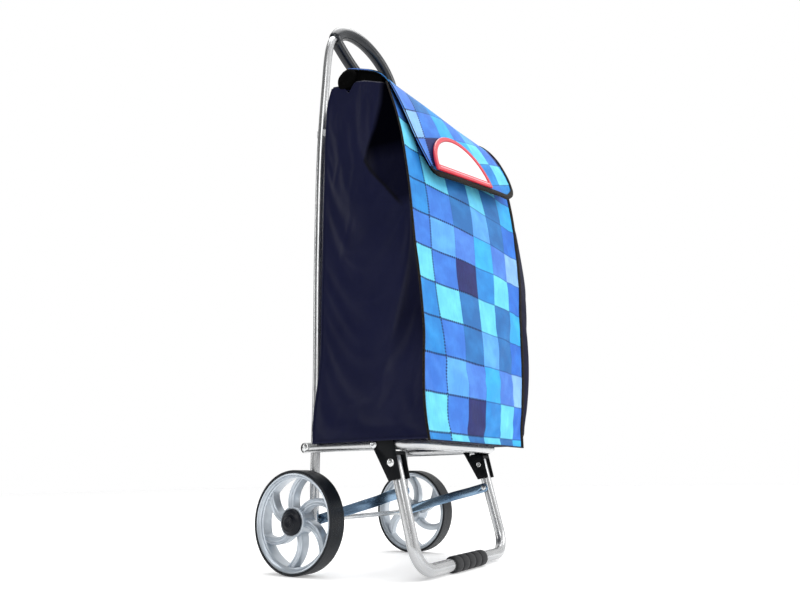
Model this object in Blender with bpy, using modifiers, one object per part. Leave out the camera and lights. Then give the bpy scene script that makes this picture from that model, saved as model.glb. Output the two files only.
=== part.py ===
"""Two-wheeled shopping trolley: a folding steel-tube frame that carries a soft bag with a printed front.

Metres, +Z up. The trolley stands on z = 0 and faces -Y. Its left side is at -X.
Pieces are made where they stand. Each moving group hangs from an empty on its joint's axis.
"""

import math

import bmesh
import bpy
from mathutils import Matrix, Vector

# Driving dimensions
AXLE_Y = 0.0840  # the axle's distance behind the middle of the whole trolley
GAP = 0.0003  # between pieces that touch

WHEEL_RADIUS = 0.075
WHEEL_WIDTH = 0.0324
WHEEL_X = 0.1705  # middle plane of a wheel
TYRE_THICKNESS = 0.0042
HUB_RADIUS = 0.0215
CAP_RADIUS = 0.0195
SPOKES = 6
SPOKE_START = math.radians(55)
SPOKE_SWEEP = math.radians(34)
AXLE_RADIUS = 0.004

UPRIGHT_RADIUS = 0.0075
UPRIGHT_X = 0.134
UPRIGHT_WAIST_X = 0.139
UPRIGHT_LOW_Z = 0.067
SOCKET_X = 0.1000  # where an upright ends inside the handle
SOCKET_Z = 0.9820
HANDLE_Z = 0.955  # height of the centre of the handle's half ellipse
HANDLE_HALF_WIDTH = 0.108
HANDLE_RISE = 0.070
HANDLE_END = math.radians(12)  # the arch stops this far round from the ellipse's ends
GRIP_RADIUS = 0.0125
LOWER_BAR_HALF = 0.100
LOWER_BAR_Z = 0.934
LOWER_BAR_RISE = 0.037
LOWER_BAR_RADIUS = 0.0118

BASE_RADIUS = 0.008
BASE_X = 0.150
BASE_Z = 0.184
BASE_REACH = 0.190  # front tube's centre, ahead of the uprights
BASE_CORNER = 0.040
BASE_OVERHANG = 0.008

LEG_RADIUS = 0.009
LEG_X = 0.147
FOOT_FORWARD = 0.195
FOOT_Z = 0.012
FOOT_CORNER = 0.036
STAND_PIVOT = (0.130, 0.184)  # (forward of the axle, height)
LEG_TOP = (0.160, 0.158)
STRUT_PIN = (0.167, 0.118)

BRACKET_OUTER_X = 0.1605
BRACKET_INNER_X = 0.1335
BRACKET_WALL = 0.0023
BRACKET_OUTLINE = [(0.1225, 0.1910), (0.1640, 0.1910), (0.1760, 0.1360), (0.1560, 0.1320)]
WEB_TOP_Z = 0.1740  # top of the web above the leg's end
WEB_LOW_Z = 0.1690
WEB_REAR = 0.1440  # the web starts here, so that the base tube clears it
BEND_REAR = 0.1415  # the slot for the base tube's bend starts here

STRUT_THICKNESS = 0.002
STRUT_WIDTH = 0.015
STRUT_AXLE_X = 0.1246
STRUT_PIN_X = 0.1345

BOLT_RADIUS = 0.0025
BOLT_HEAD_RADIUS = 0.006
BOLT_HEAD_HEIGHT = 0.0025
NUT_HEIGHT = 0.0025
BOLT_REACH = 0.0028  # how far a shank goes past the nut's near face

BAG_HALF_WIDTH = 0.168
BAG_REAR = 0.0120
HANGER_Z = 0.7450  # middle height of the two hanger loops
BAG_FRONT = 0.228
BAG_BOTTOM_Z = 0.1935
BAG_TOP_Z = 0.800
CLOTH = 0.002
PIPING_RADIUS = 0.0025
BINDING_RADIUS = 0.0022

HINGE = (0.079, 0.815)
FLAP_CLOTH = 0.003
FLAP_TIP_HALF_WIDTH = 0.145
FLAP_CORNER = 0.030
BADGE_RADIUS = 0.078
BADGE_X = -0.020

TUBE_SIDES = 4  # bevel resolution, which gives a 12-sided tube


# Scene helpers


def clear_scene():
    for obj in list(bpy.data.objects):
        bpy.data.objects.remove(obj, do_unlink=True)


def collection(name):
    made = bpy.data.collections.new(name)
    bpy.context.scene.collection.children.link(made)
    return made


def material(name, color, roughness, metallic=0.0):
    made = bpy.data.materials.new(name)
    made.use_nodes = True
    made.diffuse_color = (*color, 1.0)
    shader = made.node_tree.nodes["Principled BSDF"]
    shader.inputs["Base Color"].default_value = (*color, 1.0)
    shader.inputs["Roughness"].default_value = roughness
    shader.inputs["Metallic"].default_value = metallic
    return made


def place(x, forward, z):
    """A point from its side, its distance ahead of the axle and its height."""
    return Vector((x, AXLE_Y - forward, z))


def pivot(name, location):
    empty = bpy.data.objects.new(name, None)
    empty.empty_display_size = 0.02
    empty.location = location
    PARTS.objects.link(empty)
    return empty


def finish_piece(obj, group, look):
    """Names the piece's material and hangs it from its group's empty without moving it."""
    obj.data.materials.clear()
    obj.data.materials.append(look)
    obj.parent = group
    obj.matrix_parent_inverse = Matrix.Translation(-group.location)
    return obj


def new_mesh_object(name, build):
    mesh = bpy.data.meshes.new(name)
    bm = bmesh.new()
    build(bm)
    bm.to_mesh(mesh)
    bm.free()
    obj = bpy.data.objects.new(name, mesh)
    PARTS.objects.link(obj)
    return obj


def as_mesh(curve):
    """The curve as a closed mesh object of the same name, so that a Boolean can use it."""
    name = curve.name
    bpy.context.view_layer.update()
    graph = bpy.context.evaluated_depsgraph_get()
    mesh = bpy.data.meshes.new_from_object(curve.evaluated_get(graph))
    bm = bmesh.new()
    bm.from_mesh(mesh)
    bmesh.ops.remove_doubles(bm, verts=bm.verts, dist=1e-6)
    bmesh.ops.recalc_face_normals(bm, faces=bm.faces)
    bm.to_mesh(mesh)
    bm.free()
    matrix = curve.matrix_world.copy()
    bpy.data.objects.remove(curve, do_unlink=True)
    obj = bpy.data.objects.new(name, mesh)
    obj.matrix_world = matrix
    PARTS.objects.link(obj)
    smooth(obj)
    return obj


def smooth(obj, angle=40):
    obj.data.shade_smooth()
    obj.data.set_sharp_from_angle(angle=math.radians(angle))


def as_cutter(obj):
    PARTS.objects.unlink(obj)
    CUTTERS.objects.link(obj)
    obj.hide_render = True
    obj.display_type = "WIRE"
    return obj


def combine(obj, other, operation):
    as_cutter(other)
    step = obj.modifiers.new(other.name, "BOOLEAN")
    step.operation = operation
    step.solver = "EXACT"
    step.object = other


# Shape helpers


def curve_object(name, points, radius, sides=TUBE_SIDES, closed=False):
    data = bpy.data.curves.new(name, "CURVE")
    data.dimensions = "3D"
    data.bevel_depth = radius
    data.bevel_resolution = sides
    data.use_fill_caps = True
    spline = data.splines.new("POLY")
    spline.points.add(len(points) - 1)
    for slot, point in zip(spline.points, points):
        slot.co = (*point, 1.0)
    spline.use_cyclic_u = closed
    spline.use_smooth = True
    obj = bpy.data.objects.new(name, data)
    PARTS.objects.link(obj)
    return obj


def flat_outline(name, outline, x, thickness):
    """A plate that faces along X, from its outline in (forward, height)."""
    data = bpy.data.curves.new(name, "CURVE")
    data.dimensions = "2D"
    data.fill_mode = "BOTH"
    data.extrude = thickness / 2
    spline = data.splines.new("POLY")
    spline.points.add(len(outline) - 1)
    for slot, (forward, z) in zip(spline.points, outline):
        slot.co = (forward, z, 0.0, 1.0)
    spline.use_cyclic_u = True
    obj = bpy.data.objects.new(name, data)
    turn = Matrix(((0, 0, -1), (-1, 0, 0), (0, 1, 0))).to_4x4()
    obj.matrix_world = Matrix.Translation((x, AXLE_Y, 0)) @ turn
    PARTS.objects.link(obj)
    return as_mesh(obj)


def rounded_path(corners, radius, steps=6):
    """The corners' path with an arc of the radius at each inner corner."""
    path = [corners[0]]
    for before, corner, after in zip(corners, corners[1:], corners[2:]):
        inward = (before - corner).normalized()
        onward = (after - corner).normalized()
        half = inward.angle(onward) / 2
        centre = corner + (inward + onward).normalized() * (radius / math.sin(half))
        first = corner + inward * (radius / math.tan(half)) - centre
        last = corner + onward * (radius / math.tan(half)) - centre
        turn = first.angle(last)
        axis = first.cross(last)
        for i in range(steps + 1):
            path.append(centre + Matrix.Rotation(turn * i / steps, 3, axis) @ first)
    path.append(corners[-1])
    return path


def smooth_path(points, steps=4):
    """A Catmull-Rom curve through the points."""
    ends = [2 * points[0] - points[1], *points, 2 * points[-1] - points[-2]]
    path = []
    for a, b, c, d in zip(ends, ends[1:], ends[2:], ends[3:]):
        for i in range(steps):
            t = i / steps
            bend = (2 * a - 5 * b + 4 * c - d) * t**2 + (3 * b - a - 3 * c + d) * t**3
            path.append(b + ((c - a) * t + bend) / 2)
    path.append(points[-1])
    return path


def turned(name, profile, side, x, forward, z, steps=32, closed=False):
    """A turned piece on an axis along X. The profile is (radius, distance outwards from x)."""
    mesh = bpy.data.meshes.new(name)
    links = [(i, i + 1) for i in range(len(profile) - 1)]
    if closed:
        links.append((len(profile) - 1, 0))
    mesh.from_pydata([(radius, 0, along) for radius, along in profile], links, [])
    obj = bpy.data.objects.new(name, mesh)
    PARTS.objects.link(obj)
    obj.location = place(side * x, forward, z)
    obj.rotation_euler = (0, side * math.pi / 2, 0)
    turn = obj.modifiers.new("turn", "SCREW")
    turn.steps = steps
    turn.render_steps = steps
    turn.use_merge_vertices = True
    turn.merge_threshold = 1e-5
    turn.use_smooth_shade = True
    return obj


def ring(name, inner, outer, low, high, side, x, forward, z, steps=16):
    profile = [(outer, high), (outer, low), (inner, low), (inner, high)]
    return turned(name, profile, side, x, forward, z, steps, closed=True)


def rod(name, radius, x_from, x_to, forward, z, sides=16):
    """A plain cylinder along X."""
    turn = Matrix.Rotation(math.pi / 2, 4, "Y")
    middle = Matrix.Translation(place((x_from + x_to) / 2, forward, z))

    def build(bm):
        bmesh.ops.create_cone(
            bm,
            cap_ends=True,
            segments=sides,
            radius1=radius,
            radius2=radius,
            depth=abs(x_to - x_from),
            matrix=middle @ turn,
        )

    obj = new_mesh_object(name, build)
    smooth(obj)
    return obj


def box(name, low, high):
    """A box between two corners, each (x, forward, height)."""
    low, high = place(*low), place(*high)
    size = high - low
    middle = Matrix.Translation((low + high) / 2)
    scale = Matrix.Diagonal((abs(size.x), abs(size.y), abs(size.z), 1.0))

    def build(bm):
        bmesh.ops.create_cube(bm, size=1.0, matrix=middle @ scale)

    return new_mesh_object(name, build)


def drill(obj, radius, x_from, x_to, spot):
    hole = rod(f"{obj.name}_hole", radius, x_from, x_to, *spot)
    combine(obj, hole, "DIFFERENCE")


def cloth_sheet(name, rows, columns, thickness):
    """A sheet through rows of (forward, height, half width), thickened inwards."""

    def build(bm):
        grid = []
        for forward, z, half in rows:
            spread = [half * (2 * i / columns - 1) for i in range(columns + 1)]
            grid.append([bm.verts.new(place(x, forward, z)) for x in spread])
        for upper, lower in zip(grid, grid[1:]):
            for i in range(columns):
                bm.faces.new((upper[i], upper[i + 1], lower[i + 1], lower[i]))
        bmesh.ops.recalc_face_normals(bm, faces=bm.faces)

    obj = new_mesh_object(name, build)
    solid = obj.modifiers.new("thickness", "SOLIDIFY")
    solid.thickness = thickness
    solid.offset = 0
    smooth(obj)
    return obj


def bolt(name, group, side, head_x, tip_x, spot):
    """A pan-head bolt whose head faces outwards."""
    shank = head_x - tip_x
    profile = [
        (0, BOLT_HEAD_HEIGHT),
        (BOLT_HEAD_RADIUS * 0.6, BOLT_HEAD_HEIGHT),
        (BOLT_HEAD_RADIUS, BOLT_HEAD_HEIGHT * 0.5),
        (BOLT_HEAD_RADIUS, 0),
        (BOLT_RADIUS, 0),
        (BOLT_RADIUS, -shank),
        (0, -shank),
    ]
    obj = turned(name, profile, side, head_x, *spot, steps=16)
    return finish_piece(obj, group, ZINC)


def nut(name, group, side, x_from, x_to, spot, bore=BOLT_RADIUS):
    obj = rod(name, bore * 1.9, side * x_from, side * x_to, *spot, sides=6)
    drill(obj, bore + GAP, side * (x_from - 0.01), side * (x_to + 0.01), spot)
    return finish_piece(obj, group, ZINC)


# Frame


def upright_path():
    """The right-hand upright's centre line."""
    knots = [
        (UPRIGHT_X, UPRIGHT_LOW_Z),
        (UPRIGHT_X, 0.200),
        (UPRIGHT_X, 0.300),
        (UPRIGHT_WAIST_X, 0.500),
        (UPRIGHT_WAIST_X, 0.700),
        (0.1290, 0.866),
        (0.1235, 0.925),
        (0.1165, 0.955),
        (0.1085, 0.970),
        (SOCKET_X, SOCKET_Z),
    ]
    return smooth_path([place(x, 0, z) for x, z in knots])


def upright_x(z):
    """How far out the upright's centre line is at a height."""
    path = upright_path()
    for low, high in zip(path, path[1:]):
        if z <= high.z:
            return low.x + (high.x - low.x) * (z - low.z) / (high.z - low.z)
    return path[-1].x


def upright(side, name):
    path = [Vector((side * point.x, point.y, point.z)) for point in upright_path()]
    obj = as_mesh(curve_object(f"upright_{name}", path, UPRIGHT_RADIUS))
    near, far = side * (UPRIGHT_X - 0.02), side * (UPRIGHT_X + 0.02)
    drill(obj, AXLE_RADIUS + GAP, near, far, (0, WHEEL_RADIUS))
    drill(obj, BOLT_RADIUS + GAP, near, far, (0, BASE_Z))
    finish_piece(obj, FRAME, SILVER_TUBE)
    plug = curve_object(
        f"upright_plug_{name}",
        [
            place(side * UPRIGHT_X, 0, UPRIGHT_LOW_Z - GAP),
            place(side * UPRIGHT_X, 0, UPRIGHT_LOW_Z - GAP - 0.003),
        ],
        UPRIGHT_RADIUS,
    )
    finish_piece(plug, FRAME, BLACK_PLASTIC)


def handle_grip():
    """One moulding: an arch over a bowed lower bar, with a socket for each upright."""
    arch = []
    for i in range(17):
        turn = HANDLE_END + (math.pi - 2 * HANDLE_END) * i / 16
        x = HANDLE_HALF_WIDTH * math.cos(turn)
        arch.append(place(x, 0, HANDLE_Z + HANDLE_RISE * math.sin(turn)))
    obj = as_mesh(curve_object("handle_grip", arch, GRIP_RADIUS))
    bar = []
    for i in range(11):
        share = 2 * i / 10 - 1
        bar.append(place(share * LOWER_BAR_HALF, 0, LOWER_BAR_Z + LOWER_BAR_RISE * abs(share) ** 1.7))
    combine(obj, as_mesh(curve_object("handle_lower_bar", bar, LOWER_BAR_RADIUS)), "UNION")
    for side in (-1, 1):
        path = [Vector((side * point.x, point.y, point.z)) for point in upright_path()]
        path.append(path[-1] + (path[-1] - path[-2]).normalized() * GAP)
        socket = curve_object(f"socket_{side}", path, UPRIGHT_RADIUS + GAP * 2)
        combine(obj, as_mesh(socket), "DIFFERENCE")
    finish_piece(obj, FRAME, GRIP_PLASTIC)


def axle():
    half = WHEEL_X + 0.0190
    obj = rod("axle", AXLE_RADIUS, -half, half, 0, WHEEL_RADIUS)
    finish_piece(obj, FRAME, ZINC)


def axle_fittings(side, name):
    spot = (0, WHEEL_RADIUS)
    bore = AXLE_RADIUS + GAP
    start = UPRIGHT_X + UPRIGHT_RADIUS + GAP
    reach = WHEEL_X - WHEEL_WIDTH / 2 - GAP - start
    spacer = ring(f"axle_spacer_{name}", bore, 0.007, 0, reach, side, start, *spot)
    finish_piece(spacer, FRAME, BLACK_PLASTIC)
    collar = ring(f"axle_collar_{name}", bore, 0.007, 0, 0.0028, side, 0.1205, *spot)
    finish_piece(collar, FRAME, ZINC)
    push_nut = ring(f"push_nut_{name}", bore, 0.0075, 0.0155, 0.0175, side, WHEEL_X, *spot)
    finish_piece(push_nut, FRAME, ZINC)


# Wheels


def spoke_outline(start, sweep):
    """One swirl spoke, from hub to rim, in (forward, height) about the axle."""
    edges = ([], [])
    for edge, half in zip(edges, (0.0058, -0.0058)):
        for i in range(8):
            share = i / 7
            radius = HUB_RADIUS - 0.003 + (0.0660 - HUB_RADIUS + 0.003) * share
            bearing = start + sweep * share**1.3
            along = bearing + half * (1 + 0.25 * share) / radius
            edge.append((radius * math.cos(along), radius * math.sin(along)))
    return edges[0] + edges[1][::-1]


def rim(side, name, group):
    edge = WHEEL_RADIUS - TYRE_THICKNESS
    half = WHEEL_WIDTH / 2 - 0.0007
    profile = [
        (edge, half),
        (edge, -half),
        (edge - 0.003, -half),
        (edge - 0.003, -half + 0.003),
        (edge - 0.0065, -half + 0.0045),
        (edge - 0.0065, half - 0.0045),
        (edge - 0.003, half - 0.003),
        (edge - 0.003, half),
    ]
    spot = (0, WHEEL_RADIUS)
    obj = turned(f"rim_{name}", profile, side, WHEEL_X, *spot, steps=40, closed=True)
    hub = ring(
        f"hub_{name}", 0.0068, HUB_RADIUS, -0.0155, 0.0150, side, WHEEL_X, *spot, steps=28
    )
    combine(obj, hub, "UNION")
    for number in range(SPOKES):
        start = side * -SPOKE_START + math.tau * number / SPOKES
        outline = [(a, WHEEL_RADIUS + b) for a, b in spoke_outline(start, side * SPOKE_SWEEP)]
        spoke = flat_outline(f"spoke_{name}_{number}", outline, side * WHEEL_X, 0.0180)
        combine(obj, spoke, "UNION")
    finish_piece(obj, group, RIM_PLASTIC)


def wheel(side, name):
    spot = (0, WHEEL_RADIUS)
    group = pivot(f"wheel_axis_{name}", place(side * WHEEL_X, *spot))
    rim(side, name, group)
    half = WHEEL_WIDTH / 2
    inner = WHEEL_RADIUS - TYRE_THICKNESS + GAP
    shoulder = 0.0012
    tread = [
        (WHEEL_RADIUS - shoulder, half),
        (WHEEL_RADIUS, half - shoulder),
        (WHEEL_RADIUS, shoulder - half),
        (WHEEL_RADIUS - shoulder, -half),
        (inner, -half),
        (inner, half),
    ]
    tyre = turned(f"tyre_{name}", tread, side, WHEEL_X, *spot, steps=48, closed=True)
    finish_piece(tyre, group, TYRE_RUBBER)
    dome = [
        (0, 0.0247),
        (0.006, 0.0243),
        (0.012, 0.0228),
        (0.0168, 0.0198),
        (CAP_RADIUS, 0.0166),
        (CAP_RADIUS, 0.0153),
        (0.0160, 0.0153),
        (0.0145, 0.0180),
        (0.010, 0.0205),
        (0, 0.0215),
    ]
    cap = turned(f"hub_cap_{name}", dome, side, WHEEL_X, *spot, steps=24)
    finish_piece(cap, group, BLACK_PLASTIC)
    bush = ring(
        f"wheel_bush_{name}", AXLE_RADIUS + GAP, 0.0065, -0.0155, 0.0150, side, WHEEL_X, *spot
    )
    finish_piece(bush, group, WHITE_NYLON)


# Folding base


def base_frame():
    rear = -BASE_OVERHANG
    corners = [
        place(-BASE_X, rear, BASE_Z),
        place(-BASE_X, BASE_REACH, BASE_Z),
        place(BASE_X, BASE_REACH, BASE_Z),
        place(BASE_X, rear, BASE_Z),
    ]
    path = rounded_path(corners, BASE_CORNER)
    obj = as_mesh(curve_object("base_tube", path, BASE_RADIUS))
    drill(obj, BOLT_RADIUS + GAP, -0.2, 0.2, (0, BASE_Z))
    drill(obj, BOLT_RADIUS + GAP, -0.2, 0.2, STAND_PIVOT)
    finish_piece(obj, BASE, SILVER_TUBE)
    board = box(
        "base_board",
        (-0.119, 0.030, BAG_BOTTOM_Z + CLOTH + GAP),
        (0.119, 0.222, BAG_BOTTOM_Z + CLOTH + GAP + 0.003),
    )
    finish_piece(board, BASE, BLACK_PLASTIC)


def base_fittings(side, name):
    """The bolts that the base and the stand turn on, and the tube's end plug."""
    tube_outer = BASE_X + BASE_RADIUS + GAP
    upright_inner = UPRIGHT_X - UPRIGHT_RADIUS - GAP
    pivot_spot = (0, BASE_Z)
    bolt(f"base_bolt_{name}", FRAME, side, tube_outer, upright_inner - BOLT_REACH, pivot_spot)
    nut(f"base_nut_{name}", FRAME, side, upright_inner - NUT_HEIGHT, upright_inner, pivot_spot)
    head_x = BRACKET_OUTER_X + GAP
    nut_x = BRACKET_INNER_X - GAP
    bolt(f"stand_bolt_{name}", BASE, side, head_x, nut_x - BOLT_REACH, STAND_PIVOT)
    nut(f"stand_nut_{name}", BASE, side, nut_x - NUT_HEIGHT, nut_x, STAND_PIVOT)
    rear = -BASE_OVERHANG - GAP
    plug = curve_object(
        f"base_plug_{name}",
        [place(side * BASE_X, rear, BASE_Z), place(side * BASE_X, rear - 0.0025, BASE_Z)],
        BASE_RADIUS,
    )
    finish_piece(plug, BASE, BLACK_PLASTIC)


# Stand


def leg_line(z):
    """How far ahead of the axle the leg's centre line is at a height."""
    share = (LEG_TOP[1] - z) / (LEG_TOP[1] - FOOT_Z)
    return LEG_TOP[0] + (FOOT_FORWARD - LEG_TOP[0]) * share


def stand_tube():
    top = 0.1665
    corners = [
        place(-LEG_X, leg_line(top), top),
        place(-LEG_X, FOOT_FORWARD, FOOT_Z),
        place(LEG_X, FOOT_FORWARD, FOOT_Z),
        place(LEG_X, leg_line(top), top),
    ]
    path = rounded_path(corners, FOOT_CORNER)
    obj = as_mesh(curve_object("stand_tube", path, LEG_RADIUS))
    drill(obj, BOLT_RADIUS + GAP, -0.2, 0.2, LEG_TOP)
    finish_piece(obj, STAND, SILVER_TUBE)


def stand_grip():
    """A ribbed rubber sleeve on the foot bar, which is what rests on the floor."""
    half, ribs, inner = 0.053, 5, LEG_RADIUS + GAP
    pitch = 2 * half / ribs
    profile = []
    for rib in range(ribs):
        high = half - rib * pitch
        low = high - pitch
        profile += [(0.0108, high), (FOOT_Z, high - 0.003), (FOOT_Z, low + 0.003)]
        profile.append((0.0108, low + 0.0004))
    profile += [(inner, -half), (inner, half)]
    obj = turned("stand_grip", profile, 1, 0, FOOT_FORWARD, FOOT_Z, steps=16, closed=True)
    finish_piece(obj, STAND, BLACK_RUBBER)


def side_box(name, x, width, rear, front, low, high):
    """A box as wide as asked about x, between two distances forward and two heights."""
    return flat_outline(name, [(rear, low), (front, low), (front, high), (rear, high)], x, width)


def bracket(side, name):
    """Two plastic cheeks that hold the leg and swing on the base tube, joined by two short webs."""
    middle = side * (BRACKET_OUTER_X + BRACKET_INNER_X) / 2
    width = BRACKET_OUTER_X - BRACKET_INNER_X
    inside = width - 2 * BRACKET_WALL
    past_rear, past_front, past_top = 0.1000, 0.2000, 0.2100
    obj = flat_outline(f"bracket_{name}", BRACKET_OUTLINE, middle, width)
    # Room for the leg; the low rear web is left, and passes under the base tube when folded
    leg_room = [(WEB_REAR, WEB_LOW_Z), (0.1300, WEB_LOW_Z), (0.1300, 0.1620), (0.1418, 0.1620)]
    leg_room += [(0.1500, 0.1475), (0.1400, 0.1475), (0.1400, 0.1200)]
    leg_room += [(past_front, 0.1200), (past_front, WEB_LOW_Z)]
    combine(obj, flat_outline(f"leg_room_{name}", leg_room, middle, inside), "DIFFERENCE")
    tube_slot = side_box(f"tube_slot_{name}", middle, inside, past_rear, past_front, WEB_TOP_Z, past_top)
    combine(obj, tube_slot, "DIFFERENCE")
    rear_slot = side_box(f"rear_slot_{name}", middle, inside, past_rear, WEB_REAR, 0.1680, 0.1760)
    combine(obj, rear_slot, "DIFFERENCE")
    inward = side * (BRACKET_INNER_X + 0.002)
    bend = side_box(f"bend_slot_{name}", inward, 0.020, BEND_REAR, past_front, WEB_TOP_Z, past_top)
    combine(obj, bend, "DIFFERENCE")
    near, far = side * (BRACKET_INNER_X - 0.01), side * (BRACKET_OUTER_X + 0.01)
    drill(obj, BOLT_RADIUS + GAP, near, far, STAND_PIVOT)
    drill(obj, BOLT_RADIUS + GAP, near, far, LEG_TOP)
    finish_piece(obj, STAND, BLACK_PLASTIC)
    head_x = BRACKET_OUTER_X + GAP
    nut_x = BRACKET_INNER_X - GAP
    bolt(f"leg_bolt_{name}", STAND, side, head_x, nut_x - BOLT_REACH, LEG_TOP)
    nut(f"leg_nut_{name}", STAND, side, nut_x - NUT_HEIGHT, nut_x, LEG_TOP)


# Struts


def strut_stations(length):
    """(along, half width, side) sections of a flat strip with round ends and a joggle."""
    radius = STRUT_WIDTH / 2
    ends = []
    for i in range(1, 6):
        turn = math.pi / 2 * i / 5
        ends.append((radius * math.cos(turn), radius * math.sin(turn)))
    stations = [(-back, half, STRUT_AXLE_X) for back, half in ends]
    stations.append((length * 0.68, radius, STRUT_AXLE_X))
    stations.append((length * 0.84, radius, STRUT_PIN_X))
    stations += [(length + back, half, STRUT_PIN_X) for back, half in reversed(ends)]
    return stations


def strut(side, name):
    """A flat zinc strip from the axle to the leg, joggled outwards near the leg."""
    run, rise = STRUT_PIN[0], STRUT_PIN[1] - WHEEL_RADIUS
    length = math.hypot(run, rise)
    along = Vector((run / length, rise / length))
    across = Vector((-along.y, along.x))

    def build(bm):
        loops = []
        for distance, half, x in strut_stations(length):
            loop = []
            for width, depth in ((half, 1), (-half, 1), (-half, -1), (half, -1)):
                spot = along * distance + across * width
                face_x = side * (x + depth * STRUT_THICKNESS / 2)
                loop.append(bm.verts.new(place(face_x, spot.x, WHEEL_RADIUS + spot.y)))
            loops.append(loop)
        for before, after in zip(loops, loops[1:]):
            for i in range(4):
                j = (i + 1) % 4
                bm.faces.new((before[i], before[j], after[j], after[i]))
        bm.faces.new(loops[0])
        bm.faces.new(loops[-1])
        bmesh.ops.recalc_face_normals(bm, faces=bm.faces)

    group = pivot(f"strut_axis_{name}", place(side * STRUT_AXLE_X, 0, WHEEL_RADIUS))
    obj = new_mesh_object(f"strut_{name}", build)
    drill(obj, AXLE_RADIUS + GAP, side * 0.11, side * 0.14, (0, WHEEL_RADIUS))
    drill(obj, BOLT_RADIUS + GAP, side * 0.12, side * 0.15, STRUT_PIN)
    finish_piece(obj, group, ZINC_STRIP)
    inner = STRUT_PIN_X - STRUT_THICKNESS / 2 - GAP
    outer = STRUT_PIN_X + STRUT_THICKNESS / 2 + GAP
    rivet_profile = [
        (0, 0.0012),
        (0.0040, 0.0012),
        (0.0040, 0),
        (BOLT_RADIUS, 0),
        (BOLT_RADIUS, inner - outer),
        (0.0045, inner - outer),
        (0.0040, inner - outer - 0.0012),
        (0, inner - outer - 0.0016),
    ]
    rivet = turned(f"strut_rivet_{name}", rivet_profile, side, outer, *STRUT_PIN, steps=16)
    finish_piece(rivet, group, ZINC)


# Bag


def front_profile():
    """The bag's front, bottom to top, as (forward, height)."""
    return [
        (BAG_FRONT, BAG_BOTTOM_Z),
        (BAG_FRONT + 0.002, 0.300),
        (BAG_FRONT + 0.002, 0.420),
        (BAG_FRONT - 0.002, 0.560),
        (BAG_FRONT - 0.010, 0.660),
        (BAG_FRONT - 0.030, 0.732),
        (BAG_FRONT - 0.055, 0.766),
    ]


def bag_sides(side, name):
    front = [(forward - 0.0018, z) for forward, z in front_profile()]
    outline = front + [(0.100, 0.782), (0.072, 0.796), (0.050, BAG_TOP_Z)]
    outline += [(BAG_REAR, BAG_TOP_Z), (BAG_REAR, BAG_BOTTOM_Z)]
    panel = flat_outline(f"bag_side_{name}", outline, side * (BAG_HALF_WIDTH - CLOTH / 2), CLOTH)
    finish_piece(panel, FRAME, NAVY_NYLON)
    edge = [place(side * (BAG_HALF_WIDTH + PIPING_RADIUS + GAP), f, z) for f, z in front_profile()]
    piping = curve_object(f"bag_piping_{name}", smooth_path(edge, 2), PIPING_RADIUS, 2)
    finish_piece(piping, FRAME, BLACK_TAPE)


def bag_walls():
    inside = BAG_HALF_WIDTH - CLOTH - GAP
    rows = [(forward, z, BAG_HALF_WIDTH) for forward, z in front_profile()]
    front = cloth_sheet("bag_front", rows, 6, CLOTH)
    finish_piece(front, FRAME, PRINTED_CLOTH)
    back = box(
        "bag_back",
        (-inside, BAG_REAR, BAG_BOTTOM_Z + CLOTH + GAP),
        (inside, BAG_REAR + CLOTH, BAG_TOP_Z),
    )
    finish_piece(back, FRAME, NAVY_NYLON)
    bottom = box(
        "bag_bottom",
        (-inside, BAG_REAR, BAG_BOTTOM_Z),
        (inside, BAG_FRONT - 0.002, BAG_BOTTOM_Z + CLOTH),
    )
    finish_piece(bottom, FRAME, NAVY_NYLON)
    top = box(
        "bag_top",
        (-inside, BAG_REAR + CLOTH + GAP, 0.7920),
        (inside, 0.080, 0.7920 + CLOTH),
    )
    finish_piece(top, FRAME, NAVY_NYLON)


def hanger_loop(side, name, z):
    """A webbing loop round an upright, which ties the bag's back to the frame."""
    inner, outer, half = UPRIGHT_RADIUS + GAP * 3, UPRIGHT_RADIUS + 0.0024, 0.008
    x = upright_x(z)

    def build(bm):
        bmesh.ops.create_cone(
            bm,
            cap_ends=True,
            segments=20,
            radius1=outer,
            radius2=outer,
            depth=2 * half,
            matrix=Matrix.Translation(place(side * x, 0, z)),
        )

    obj = new_mesh_object(f"hanger_loop_{name}", build)
    tab = box(
        f"loop_tab_{name}",
        (side * x - 0.008, 0.006, z - half * 0.999),
        (side * x + 0.008, BAG_REAR - GAP, z + half * 0.999),
    )
    combine(obj, tab, "UNION")
    ends = [place(side * x, 0, z - 0.03), place(side * x, 0, z + 0.03)]
    combine(obj, as_mesh(curve_object(f"loop_bore_{name}", ends, inner)), "DIFFERENCE")
    finish_piece(obj, FRAME, WHITE_NYLON)


# Flap


def flap_profile(grow=0.0):
    """The flap from its hinge to its tip, as (forward, height, half width), grown at its edge."""
    wide = BAG_HALF_WIDTH + grow
    rows = [
        (0.078, 0.8355, wide),
        (0.100, 0.8330, wide),
        (0.135, 0.8160, wide),
        (0.165, 0.7970, wide),
        (0.188, 0.7700, wide),
    ]
    brow, tip = Vector((0.206, 0.730)), Vector((0.240, 0.622))
    rows.append((*brow, wide - 0.004))
    upward = (brow - tip).normalized()
    corner = FLAP_CORNER + grow
    for i in range(5):
        turn = math.pi / 2 * i / 4
        spot = tip + upward * (corner * (1 - math.sin(turn)) - grow)
        half = FLAP_TIP_HALF_WIDTH + grow - corner * (1 - math.cos(turn))
        rows.append((*spot, half))
    return rows


def flap():
    obj = cloth_sheet("flap", flap_profile(), 8, FLAP_CLOTH)
    finish_piece(obj, FLAP, PRINTED_CLOTH)
    rows = flap_profile(BINDING_RADIUS + 0.001)
    right = [place(half, forward, z) for forward, z, half in rows]
    left = [place(-half, forward, z) for forward, z, half in rows]
    binding = curve_object("flap_binding", left + right[::-1], BINDING_RADIUS, 2)
    finish_piece(binding, FLAP, BLACK_TAPE)


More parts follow.
